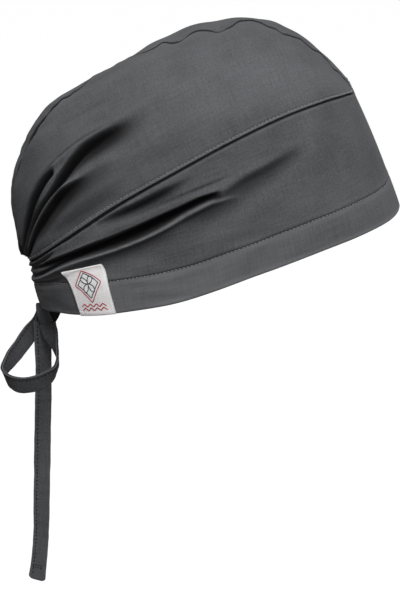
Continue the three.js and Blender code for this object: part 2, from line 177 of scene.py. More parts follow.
clothLook = {
    "shade": (0.053, 0.054, 0.0580),   # between the threads
    "body": (0.088, 0.0895, 0.0955),
    # paler tone that wear and painted light blend towards
    "wornAndLit": (0.150, 0.152, 0.160),
    "pitch": 0.36,                     # mm from thread to thread
    "threadRound": 0.6,
    "slubTone": 0.45,
    "grain": 0.45,
    "mottle": 0.30,
    "hollowShade": 0.95,               # how much the painted shade darkens the depths of the folds
    "wearAndLightGain": 1.6,
    "roughness": 0.85,
    "roughSpread": 0.2,
    "specular": 0.18,
    "sheen": 0.05,
    "sheenRoughness": 0.45,
    "slubScale": (0.06, 1.3),          # along and across a thread
    "grainScale": (0.8, 0.8, 1),
    "mottleScale": (48, 48, 48),
    "crumpleScale": (0.09, 0.14, 1),
    "weaveDepth": 0.035 * mm,
    "slubDepth": 0.07 * mm,
    "crumpleDepth": 0.30 * mm,
}


def addNode(tree, kind, inputs=(), **settings):
    node = tree.nodes.new(kind)
    for key, value in settings.items():
        setattr(node, key, value)
    for key, value in dict(inputs).items():
        node.inputs[key].default_value = value
    return node


def addMath(tree, operation, first, second=None):
    node = addNode(tree, "ShaderNodeMath", operation=operation)
    for slot, value in enumerate((first, second)):
        if isinstance(value, (int, float)):
            node.inputs[slot].default_value = value
        elif value is not None:
            tree.links.new(value, node.inputs[slot])
    return node.outputs[0]


def stretchedNoise(tree, source, stretch, detail=2.0):
    mapping = addNode(tree, "ShaderNodeMapping", {"Scale": stretch})
    tree.links.new(source, mapping.inputs["Vector"])
    noise = addNode(tree, "ShaderNodeTexNoise", {"Scale": 1.0, "Detail": detail})
    tree.links.new(mapping.outputs[0], noise.inputs["Vector"])
    return noise.outputs["Fac"]


def mixColour(tree, share, first, second, blend="MIX"):
    node = addNode(tree, "ShaderNodeMix", data_type="RGBA", blend_type=blend)
    for key, value in ((0, share), (6, first), (7, second)):
        if isinstance(value, (int, float)):
            node.inputs[key].default_value = value
        elif isinstance(value, tuple):
            node.inputs[key].default_value = (*value, 1.0)
        else:
            tree.links.new(value, node.inputs[key])
    return node.outputs[2]


def addBump(tree, height, depth, under=None):
    bump = addNode(tree, "ShaderNodeBump", {"Strength": 1.0, "Distance": depth})
    tree.links.new(height, bump.inputs["Height"])
    if under is not None:
        tree.links.new(under, bump.inputs["Normal"])
    return bump.outputs[0]


def startMaterial(name, roughness, sheen, sheenRoughness):
    material = bpy.data.materials.new(name)
    material.use_nodes = True
    tree = material.node_tree
    shader = tree.nodes["Principled BSDF"]
    shader.inputs["Roughness"].default_value = roughness
    shader.inputs["Specular IOR Level"].default_value = clothLook["specular"]
    shader.inputs["Sheen Weight"].default_value = sheen
    shader.inputs["Sheen Roughness"].default_value = sheenRoughness
    threads = addNode(tree, "ShaderNodeUVMap", uv_map="weave").outputs[0]
    return material, tree, shader, threads


def scaledVector(tree, source, scale):
    scaled = addNode(tree, "ShaderNodeVectorMath", operation="SCALE")
    scaled.inputs["Scale"].default_value = scale
    tree.links.new(source, scaled.inputs[0])
    return scaled.outputs[0]


def greyOf(tree, tone):
    grey = addNode(tree, "ShaderNodeCombineColor")
    for channel in range(3):
        tree.links.new(tone, grey.inputs[channel])
    return grey.outputs[0]


def pointValue(tree, name):
    return addNode(tree, "ShaderNodeAttribute", attribute_name=name).outputs["Fac"]


def objectPlace(tree):
    return addNode(tree, "ShaderNodeTexCoord").outputs["Object"]


def plainWeave(tree, threads, pitch):
    # over and under threads: each cell shows a rounded warp or weft thread
    split = addNode(tree, "ShaderNodeSeparateXYZ")
    tree.links.new(scaledVector(tree, threads, 1 / pitch), split.inputs[0])
    rounds = []
    for axis in (0, 1):
        turns = addMath(tree, "MULTIPLY", split.outputs[axis], math.pi)
        rounds.append(addMath(tree, "ABSOLUTE", addMath(tree, "SINE", turns)))
    cells = [addMath(tree, "FLOOR", split.outputs[axis]) for axis in (0, 1)]
    over = addMath(tree, "MODULO", addMath(tree, "ABSOLUTE", addMath(tree, "ADD", *cells)), 2.0)
    pick = addNode(tree, "ShaderNodeMix", data_type="FLOAT")
    tree.links.new(over, pick.inputs[0])
    tree.links.new(rounds[0], pick.inputs[2])
    tree.links.new(rounds[1], pick.inputs[3])
    return pick.outputs[0]


def clothMaterial(name, look):
    material, tree, shader, threads = startMaterial(
        name, look["roughness"], look["sheen"], look["sheenRoughness"])
    weave = plainWeave(tree, threads, look["pitch"])
    along, across = look["slubScale"]
    warpSlub = stretchedNoise(tree, threads, (along, across, 1))
    weftSlub = stretchedNoise(tree, threads, (across, along, 1))
    slub = addMath(tree, "MULTIPLY", addMath(tree, "ADD", warpSlub, weftSlub), 0.5)
    grain = stretchedNoise(tree, threads, look["grainScale"], 3.0)
    broad = stretchedNoise(tree, objectPlace(tree), look["mottleScale"], 4.0)
    crumple = stretchedNoise(tree, threads, look["crumpleScale"], 4.0)
    threadTop = addMath(tree, "POWER", weave, look["threadRound"])
    thread = mixColour(tree, threadTop, look["shade"], look["body"])
    tone = 1 - look["slubTone"] - look["grain"] - look["mottle"]
    for noise, share in ((slub, "slubTone"), (grain, "grain"), (broad, "mottle")):
        tone = addMath(tree, "ADD", addMath(tree, "MULTIPLY", noise, 2 * look[share]), tone)
    # painted shade: a per-point attribute darkens the cloth's colour in the depths of folds, along seams
    # and in other shaded places
    paintedShade = pointValue(tree, "paintedShade")
    lit = addMath(tree, "SUBTRACT", 1.0, addMath(tree, "MULTIPLY", paintedShade, look["hollowShade"]))
    tone = addMath(tree, "MULTIPLY", tone, lit)
    toned = mixColour(tree, 1.0, thread, greyOf(tree, tone), "MULTIPLY")
    # wear and painted light: a per-point attribute blends towards the paler tone, for real wear and for
    # painted highlights and lighter areas, less where painted shade lies
    bare = addMath(tree, "SUBTRACT", 1.0, paintedShade)
    wornAndLitShare = addMath(tree, "MULTIPLY", pointValue(tree, "wearAndLight"), slub)
    wornAndLitShare = addMath(tree, "MULTIPLY", addMath(tree, "MULTIPLY", wornAndLitShare, look["wearAndLightGain"]), bare)
    tree.links.new(mixColour(tree, wornAndLitShare, toned, look["wornAndLit"]), shader.inputs["Base Color"])
    rough = addMath(tree, "ADD", addMath(tree, "MULTIPLY", slub, look["roughSpread"]),
                    look["roughness"] - look["roughSpread"] / 2)
    tree.links.new(rough, shader.inputs["Roughness"])
    bump = addBump(tree, crumple, look["crumpleDepth"])
    bump = addBump(tree, slub, look["slubDepth"], bump)
    bump = addBump(tree, weave, look["weaveDepth"], bump)
    tree.links.new(bump, shader.inputs["Normal"])
    return material


threadLook = {
    "body": (0.28, 0.284, 0.292),
    "shade": (0.10, 0.102, 0.107),
    "roughness": 0.6,
    "sheen": 0.3,
    "sheenRoughness": 0.4,
    "twist": 0.35,                     # mm from ply to ply
    "bandsPerTurn": 20,                # of the wave texture
    "twistDepth": 0.05 * mm,
}


def threadMaterial(name, look):
    material, tree, shader, threads = startMaterial(
        name, look["roughness"], look["sheen"], look["sheenRoughness"])
    twist = addNode(tree, "ShaderNodeTexWave", {"Scale": 1.0}, bands_direction="DIAGONAL")
    plies = scaledVector(tree, threads, 2 * math.pi / look["twist"] / look["bandsPerTurn"])
    tree.links.new(plies, twist.inputs["Vector"])
    colour = mixColour(tree, twist.outputs["Fac"], look["shade"], look["body"])
    tree.links.new(colour, shader.inputs["Base Color"])
    tree.links.new(addBump(tree, twist.outputs["Fac"], look["twistDepth"]), shader.inputs["Normal"])
    return material


charcoalCotton = clothMaterial("charcoalCotton", clothLook)
charcoalThread = threadMaterial("charcoalThread", threadLook)
# painted shade: the tie stitches are near black to stand for the shade of their needle holes
tieHoleShadeLook = dict(threadLook, body=(0.014, 0.014, 0.015), shade=(0.006, 0.006, 0.007), sheen=0.0)
tieHoleShadeThread = threadMaterial("tieHoleShadeThread", tieHoleShadeLook)
print("cloth and thread materials made")


# ties: two flat folded strips, a loop and a tail

loopTie = {
    "rows": [  # x, y, z of the middle, then the direction across
        (-98.4, -7.2, -39.4, 0.95, 0, 0.3), (-97.4, -9.2, -42.6, 0.9, -0.3, 0.3),
        (-95.5, -13, -46.1, 0.7, -0.62, 0.35), (-93, -18.5, -51.7, 0.25, -0.93, 0.28),
        (-92, -23.5, -56.7, 0, -0.75, 0.65), (-94.1, -28, -61.8, 0.1, -0.4, 0.9),
        (-99.1, -31, -65.3, 0, -0.2, 0.98), (-106.5, -31.5, -68.1, 0, -0.15, 0.98),
        (-114.6, -28.5, -69.4, 0, -0.2, 0.97), (-120.7, -23, -68.2, -0.1, -0.45, 0.9),
        (-123.4, -16, -65.1, -0.2, -0.75, 0.6), (-119.9, -9, -60.5, -0.6, -0.5, 0.6),
        (-113.7, -3, -53.4, -0.8, -0.2, 0.55), (-107.7, 0.9, -45.2, -0.82, -0.1, 0.5),
        (-104.4, 1.4, -39.6, -0.82, 0, 0.5),
    ],
    "width": 9.7,
    "thickness": 1.15,
    "openEdge": 1,            # side of the two pressed folds, along the direction across
    "step": 0.45,
    "seed": 11,
    "pinch": (0, 0.34),
    "shade": 0.36,            # painted shade, for the little light that reaches it under the gathered back
}
tailTie = {
    "rows": [
        (-101.8, -3.8, -38.7, 1, 0.05, 0), (-101.5, -3.5, -53.4, 0.97, 0.22, 0),
        (-101.4, -3, -69.9, 0.92, 0.38, 0), (-101.9, -3, -86.9, 0.95, 0.3, 0),
        (-102.6, -3, -107.8, 1, 0, 0), (-103.2, -3, -130, 0.99, -0.15, 0),
        (-103.8, -3, -148.7, 0.97, -0.22, 0), (-104.3, -3, -167.4, 0.94, -0.34, 0),
        (-105.5, -3, -183.2, 0.93, -0.36, 0), (-107.5, -3, -198.9, 0.97, -0.2, -0.08),
    ],
    "width": 9.7,
    "thickness": 1.15,
    "openEdge": -1,
    "step": 0.45,
    "seed": 12,
    "shade": 0.02,
    "paler": 0.16,            # painted light on the lower half
    "endSlant": 0.05,         # rise of the cut end per mm across
    "endFlare": 0.5,
    "endRound": 1.3,
}
tieStitch = {"fromEdge": 1.9, "pitch": 2.3, "length": 1.35, "radius": 0.3, "endLines": (8.0, 9.6),
             "endPitch": 1.6, "endLength": 1.05, "edgeSwell": 0.24}
tieProfile = {
    "foldReach": 0.55,             # mm over which the folded edge rounds off
    "foldHeight": 0.12,            # share of the thickness at that edge
    "groove": (0.14, 0.32),        # depth and half width under the stitches
    "puff": (0.07, 1.4, 0.9),      # height, place from the fold and half width
    "swellReach": 1.1,             # half width of the thicker edge of two folds
    "lip": ((0.08, 0.9), (0, 0.6), (0.1, 0.25), (0.6, 0.0)),   # in from the edge, share of its height
    "widthWaves": (0, 5, 9, 40, 0.012, 1),
    "edgeWaves": (1, 6, 7, 30, 0.16, 1),
    "pucker": (2, 5, 2.6, 7, 0.05, 1),
    "dish": 0.12,                  # how far the edges stand over the middle
    "pinchReach": 9,
    "endFlareReach": 7,
    "slantReach": 9,
    "roundReach": 3,
    "edgeWearAndHighlight": (0.5, 1.3),        # wear and painted highlight on the folded edge and on the open edge
    "edgeShade": 0.95,             # between the two folds of the open edge
}


def tieSection(width, thickness, openEdge):
    # closed outline of the strip: one folded edge, one edge of two folds pressed together
    look = tieProfile
    half, deep = width / 2, thickness / 2
    grooveDeep, grooveWide = look["groove"]
    puffTall, puffAt, puffWide = look["puff"]
    face = []
    for a in np.concatenate([-half + 0.05 + 0.5 * (1 - np.cos(np.linspace(0, np.pi / 2, 5))),
                             np.linspace(-half + 1.0, half - 1.0, 15),
                             [half - 0.6, half - 0.32]]):
        fromFold = a + half
        bulge = math.sqrt(max(0.0, 1 - max(0.0, 1 - fromFold / look["foldReach"]) ** 2))
        groove = grooveDeep * bell(a - (half - tieStitch["fromEdge"]), grooveWide)
        puff = puffTall * bell(fromFold - puffAt, puffWide)
        swell = tieStitch["edgeSwell"] * bell(half - a, look["swellReach"])
        rounded = look["foldHeight"] + (1 - look["foldHeight"]) * bulge
        face.append((a, deep * rounded - groove + puff + swell))
    lips = deep + tieStitch["edgeSwell"]
    upper = face + [(half - inset, lips * share) for inset, share in look["lip"]]
    lower = [(a, -b) for a, b in reversed(upper[:-1])]
    return np.array([(openEdge * a, b) for a, b in upper + lower])


def stripFrames(rows, step):
    even, length = evenRoute(rows, step)
    centre, across = even[:, :3], unit(even[:, 3:6])
    tangent = unit(np.gradient(centre, axis=0))
    face = unit(np.cross(tangent, across))
    return centre, tangent, unit(np.cross(face, tangent)), face, length


def ringFaces(rings, around, closed=False):
    # quads between rings of points, around points on each ring
    i = np.arange(rings if closed else rings - 1)[:, None]
    j = np.arange(around)[None]
    k, l = (i + 1) % rings, (j + 1) % around
    return np.stack([i * around + j, i * around + l, k * around + l, k * around + j], -1).reshape(-1, 4)


def gridUvs(corner):
    return np.stack([corner[:-1, :-1], corner[:-1, 1:], corner[1:, 1:], corner[1:, :-1]], 2).reshape(-1, 2)


def ringUvs(lengths, girths):
    return gridUvs(np.stack(np.meshgrid(lengths, girths, indexing="ij"), -1))


def tubeMesh(points, run, girth):
    # rings of points [ring][around] with a fan over each end
    rings, around = points.shape[:2]
    flat = points.reshape(-1, 3)
    faces, uvs = ringFaces(rings, around).tolist(), ringUvs(run, girth).tolist()
    for ring, turned in ((0, True), (rings - 1, False)):
        hub = len(flat)
        flat = np.vstack([flat, points[ring].mean(0)])
        for j in range(around):
            pair = [ring * around + (j + 1) % around, ring * around + j]
            faces.append([hub] + (pair if turned else pair[::-1]))
            uvs += [(run[ring], 0), (run[ring], girth[j + 1]), (run[ring], girth[j])]
    return flat, faces, uvs


def endCaps(start, rings, around):
    # flat end faces of a tube whose points begin at start
    first, last = (list(range(at, at + around)) for at in (start, start + (rings - 1) * around))
    return [first[::-1], last], [(0, 0)] * (2 * around)


def buildStrip(name, tie, material):
    centre, tangent, across, face, length = stripFrames(tie["rows"], tie["step"])
    section = tieSection(tie["width"], tie["thickness"], tie["openEdge"])
    run = np.linspace(0, length, len(centre))
    edge = section[:, 0] / (tie["width"] / 2)
    look = tieProfile
    wide = 1 + wrinkle(look["widthWaves"], tie["seed"], run)
    wavy = wrinkle(look["edgeWaves"], tie["seed"], run)
    pucker = wrinkle(look["pucker"], tie["seed"], run)
    thick = np.ones_like(run)
    end = length - run
    if "endSlant" in tie:
        wide = wide * (1 + tie["endFlare"] / tie["width"] * bell(end, look["endFlareReach"]))
        thick = 0.25 + 0.75 * np.sqrt(1 - np.clip(1 - end / 0.6, 0, 1) ** 2)
        thick = thick * (1 + 0.25 * bell(end - 4, 3.5))
    first, last = tie.get("pinch", (0, 0))      # share of the width lost at the ends
    pinch = first * (1 - ease(run, 0, look["pinchReach"])) + last * (1 - ease(end, 0, look["pinchReach"]))
    wide = wide * (1 - pinch)
    a = section[None, :, 0] * wide[:, None]
    b = section[None, :, 1] * thick[:, None] + wavy[:, None] * edge ** 2 * np.sign(edge) * 0.7 \
        + pucker[:, None] * (0.3 + 0.7 * np.abs(edge)) + look["dish"] * (edge ** 2 - 0.3)
    points = centre[:, None] + across[:, None] * a[..., None] + face[:, None] * b[..., None]
    if "endSlant" in tie:
        slide = (a * tie["endSlant"]) * bell(end, look["slantReach"])[:, None]
        corner = np.abs(a / tie["width"] * 2) ** 5
        slide -= tie["endRound"] * corner * bell(end, look["roundReach"])[:, None]
        points = points + tangent[:, None] * slide[..., None]
    girth = np.concatenate([[0], np.cumsum(np.linalg.norm(np.diff(section, axis=0), axis=1))])
    girth = np.append(girth, girth[-1] + np.linalg.norm(section[0] - section[-1]))
    flat, faces, uvs = tubeMesh(points, run, girth)
    # wear and painted highlight along both edges; painted light on the lower half of the tail
    foldEdgeWearAndLight, openEdgeWearAndLight = look["edgeWearAndHighlight"]
    rubAndHighlight = np.where(edge * tie["openEdge"] > 0, openEdgeWearAndLight, foldEdgeWearAndLight) * ease(np.abs(edge), 0.93, 0.985)
    paler = tie.get("paler", 0.0) * ease(run / length, 0.3, 0.7)
    wearAndLight = np.concatenate([(rubAndHighlight[None] + paler[:, None]).ravel(), [0, 0]])
    # painted shade over the whole strip and between the two folds of the open edge
    notch = (np.abs(section[:, 1]) < 0.35 * section[:, 1].max()) & (section[:, 0] * tie["openEdge"] > 0)
    shade = np.tile(np.maximum(tie.get("shade", 0.0), look["edgeShade"] * notch), len(run))
    shade = np.concatenate([shade, [0, 0]])
    piece = newPiece(name, flat, faces, material, uvs, wearAndLight, shade)
    return piece, centre, length


def newPiece(name, points, faces, material, uvs, wearAndLight=None, paintedShade=None):
    piece = newObject(name, points, faces, material, uvs, wearAndLight, paintedShade)
    faceOutward(piece)
    return piece


def faceOutward(piece):
    # turns a closed mesh whose faces look inward
    mesh = piece.data
    mesh.calc_loop_triangles()
    spots = np.empty(len(mesh.vertices) * 3, np.float32)
    mesh.vertices.foreach_get("co", spots)
    spots = spots.reshape(-1, 3).astype(float)
    corners = np.array([t.vertices for t in mesh.loop_triangles])
    a, b, c = spots[corners[:, 0]], spots[corners[:, 1]], spots[corners[:, 2]]
    if np.einsum("ij,ij->i", a, np.cross(b, c)).sum() < 0:
        mesh.flip_normals()


stitchForm = {
    "rings": 6,
    "around": 6,
    "jitter": 0.05,               # of the pitch, and in mm sideways
    "arch": (1.9, 0.9),           # rise of the middle and dip of the ends, shares of the height
    "taper": (0.45, 0.55),        # girth at the ends and what the middle adds
    "flatness": 1.15,
}


def layStitches(name, route, normals, pitch, length, radius, material, start=0.5, proud=0.1, seed=1):
    # one mesh of separate thread stitches along a route, each dipping into the cloth at its ends
    run = np.concatenate([[0], np.cumsum(np.linalg.norm(np.diff(route, axis=0), axis=1))])
    count = max(1, int((run[-1] - start * pitch) / pitch))
    rng = np.random.default_rng(seed)
    rings, around, jitter = stitchForm["rings"], stitchForm["around"], stitchForm["jitter"]
    share = np.linspace(0, 1, rings)
    first = start * pitch + pitch * np.arange(count) + rng.normal(0, jitter * pitch, count)
    spot = np.clip(first[:, None] + length * share[None], 0, run[-1])
    middle = np.stack([np.interp(spot, run, route[:, k]) for k in range(3)], -1)
    up = unit(np.stack([np.interp(spot, run, normals[:, k]) for k in range(3)], -1))
    along = unit(np.gradient(middle, axis=1))
    side = unit(np.cross(along, up))
    up = np.cross(side, along)
    arch = np.sin(np.pi * share)
    lean = rng.normal(0, jitter, count)[:, None] * (2 * share - 1)[None]
    (rise, dip), (ends, more) = stitchForm["arch"], stitchForm["taper"]
    middle = middle + up * (proud * (rise * arch - dip))[None, :, None] + side * lean[..., None]
    fat = radius * (ends + more * arch ** 0.5)
    angle = 2 * np.pi * np.arange(around) / around
    turn = angle[:, None, None, None]
    ring = np.cos(turn) * side[None] * stitchForm["flatness"] + np.sin(turn) * up[None]
    points = middle[None] + ring * fat[None, None, :, None]
    points = points.transpose(1, 2, 0, 3).reshape(-1, 3)       # stitch, ring, angle
    one = ringFaces(rings, around)
    faces = (one[None] + (np.arange(count) * rings * around)[:, None, None]).reshape(-1, 4).tolist()
    girth = 2 * np.pi * radius * np.arange(around + 1) / around
    uvs = np.tile(ringUvs(length * share, girth), (count, 1)).tolist()
    for k in range(count):
        caps, capUvs = endCaps(k * rings * around, rings, around)
        faces += caps
        uvs += capUvs
    return newPiece(name, points, faces, material, uvs)


def tieSeam(name, tie, face, seed):
    # edge stitching seen on one face of a tie
    centre, _, across, out, _ = stripFrames(tie["rows"], tie["step"])
    offset = tie["openEdge"] * (tie["width"] / 2 - tieStitch["fromEdge"])
    route = centre + across * offset + out * (face * (tie["thickness"] / 2 - 0.12))
    keep = slice(4, len(centre) - 4)
    return layStitches(name, route[keep], out[keep] * face, tieStitch["pitch"], tieStitch["length"],
                       tieStitch["radius"], tieHoleShadeThread, seed=seed)


def tieEndLines(name, tie, face):
    # two rows of stitches across the strip above its cut end
    centre, tangent, across, out, length = stripFrames(tie["rows"], tie["step"])
    run = np.linspace(0, length, len(centre))
    pieces = []
    for number, fromEnd in enumerate(tieStitch["endLines"]):
        at = int(np.argmin(np.abs(run - (length - fromEnd))))
        a = np.linspace(-0.4, 0.4, 30)[:, None] * tie["width"]
        slide = tangent[at] * a * tie["endSlant"] * bell(fromEnd, tieProfile["slantReach"])
        route = centre[at] + across[at] * a + slide + out[at] * (face * (tie["thickness"] / 2 - 0.02))
        normals = np.repeat(out[at][None] * face, len(a), 0)
        pieces.append(layStitches(name + str(number), route, normals, tieStitch["endPitch"],
                                  tieStitch["endLength"], tieStitch["radius"], tieHoleShadeThread,
                                  start=0.2, seed=40 + number))
    return pieces


tieLoop, loopCentre, loopLength = buildStrip("tieLoop", loopTie, charcoalCotton)
tieTail, tailCentre, tailLength = buildStrip("tieTail", tailTie, charcoalCotton)
loopSeams, tailSeams = [], []
for seams, name, tie, seed in ((loopSeams, "loop", loopTie, 20), (tailSeams, "tail", tailTie, 30)):
    for tag, face in (("Out", 1), ("In", -1)):
        seams.append(tieSeam(name + "Stitches" + tag, tie, face, seed + face))
tailSeams += tieEndLines("tailEndOut", tailTie, 1) + tieEndLines("tailEndIn", tailTie, -1)
for piece, node in ((tieLoop, "tie_loop"), (tieTail, "tie_tail")):
    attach(piece, "root")
    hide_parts(node)
for seams, node in ((loopSeams, "tie_loop"), (tailSeams, "tie_tail")):
    for seam in seams:
        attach(seam, "root")
print("ties laid:", round(loopLength), "mm loop,", round(tailLength), "mm tail")


# shape of the cap: the same stations as the model's, one row per turn from the forehead to the back

capForm = {
    "columns": ("turn", "hemX", "hemY", "hemZ", "seamX", "seamY", "seamZ",
                "ridgeX", "ridgeZ", "bulge", "rise", "flare", "over", "crest"),
    "levelColumns": ("hemX", "hemZ", "seamX", "seamZ"),
    "stations": np.array([
        (0, 101.6, 0, 29.6, 74.8, 0, 95.2, 73.5, 97, 1.2, 1, 0, 1, 0),
        (20, 95.9, 27, 28.6, 70.2, 25, 98.4, 66.4, 107.4, 1.6, 5, 0, 12, -1),
        (40, 78.3, 50, 25.5, 55.9, 45.5, 98.5, 49.2, 122.8, 2.3, 14, 2, 24, 0),
        (60, 51.3, 65.5, 18.5, 33, 60.5, 93, 28.4, 132.4, 3, 24, 3, 32, 3),
        (80, 18.1, 74, 8, 4.9, 69, 81, 3.5, 133.2, 3, 32, 4, 40, 4),
        (100, -17.1, 75, -4.6, -26.8, 68.5, 63.1, -22, 126.2, 2.5, 38, 6, 42, 4),
        (120, -50.2, 67, -13.8, -58.5, 59, 42.2, -49, 114.8, 2, 42, 8, 40, 3),
        (140, -77.3, 50, -20.8, -84.3, 43, 20.8, -77.6, 97.6, 1.5, 40, 12, 34, 5),
        (155, -91.5, 33, -24.6, -97.9, 27, 7.7, -101, 75.6, 1, 30, 11, 28, 8.5),
        (168, -99.2, 17, -27.6, -105.4, 13, 0, -114.3, 42, 1, 15, 8, 18, 9),
        (180, -101.8, 0, -29.5, -108.4, 0, -4, -112.8, 0.5, 1, 3, 1, 3, 2),
    ]),
    "turnStep": 0.4,
    "upStep": 0.01,
    "normalSteps": (0.15, 0.003),    # turn and share of the rib
    "lowestUp": 0.004,
    "bridgeSteps": 9,
    "casingHeight": 17.6,
    "casingBackLoss": 4,
    "casingNarrowsFrom": 140,
    "ridgeDips": ((34, 1, 6), (53, 1.6, 5), (84, 2.6, 6), (104, 2.2, 6), (117, 1, 5)),
}
stationCurves = {}
for k, column in enumerate(capForm["columns"]):
    ys = capForm["stations"][:, k]
    xs = capForm["stations"][:, 0]
    stationCurves[column] = (xs, ys, slopesOf(xs, ys, column in capForm["levelColumns"]))


def station(column, turn):
    return smoothAt(*stationCurves[column], turn)


def hemAt(turn):
    return np.stack([station(c, turn) for c in ("hemX", "hemY", "hemZ")], -1)


def seamAt(turn):
    return np.stack([station(c, turn) for c in ("seamX", "seamY", "seamZ")], -1)


def ridgeAt(turn):
    x = station("ridgeX", turn)
    return np.stack([x, np.zeros_like(x), station("ridgeZ", turn)], -1)


def courseOf(pointAt, turn):
    step = capForm["turnStep"]
    return unit(pointAt(turn + step) - pointAt(turn - step))


def bandBase(turn, up):
    hem, seam = hemAt(turn), seamAt(turn)
    out = unit(np.cross(courseOf(hemAt, turn), unit(seam - hem)))
    swell = station("bulge", turn) * 4 * up * (1 - up)
    return hem + (seam - hem) * up[..., None] + out * swell[..., None]


def crownRib(turn):
    seam, ridge = seamAt(turn), ridgeAt(turn)
    upright = unit(seam - hemAt(turn))
    out = unit(np.cross(courseOf(seamAt, turn), upright))
    course = courseOf(ridgeAt, turn)
    ridgeOut = np.stack([course[..., 2], np.zeros_like(turn), -course[..., 0]], -1)
    low = seam + upright * station("rise", turn)[..., None] + out * station("flare", turn)[..., None]
    high = ridge + ridgeOut * station("crest", turn)[..., None]
    high[..., 1] += station("over", turn)
    dip = -sum(depth * bell(turn - at, reach) for at, depth, reach in capForm["ridgeDips"])
    return seam, low, high, ridge + ridgeOut * dip[..., None]


def crownBase(turn, up):
    a, b, c, d = crownRib(turn)
    u = up[..., None]
    v = 1 - u
    return v ** 3 * a + 3 * v * v * u * b + 3 * v * u * u * c + u ** 3 * d


def ribLength(on, turn):
    if on == "band":
        return np.linalg.norm(seamAt(turn) - hemAt(turn), axis=-1)
    a, b, c, d = crownRib(turn)
    legs = sum(np.linalg.norm(p - q, axis=-1) for p, q in ((a, b), (b, c), (c, d)))
    return (legs + np.linalg.norm(a - d, axis=-1)) / 2


def arcTable(pointAt):
    turn = np.linspace(-2, 182, 1500)
    points = pointAt(turn)
    run = np.concatenate([[0], np.cumsum(np.linalg.norm(np.diff(points, axis=0), axis=1))])
    return turn, run - np.interp(0, turn, run)


hemArc, seamArc, ridgeArc = arcTable(hemAt), arcTable(seamAt), arcTable(ridgeAt)
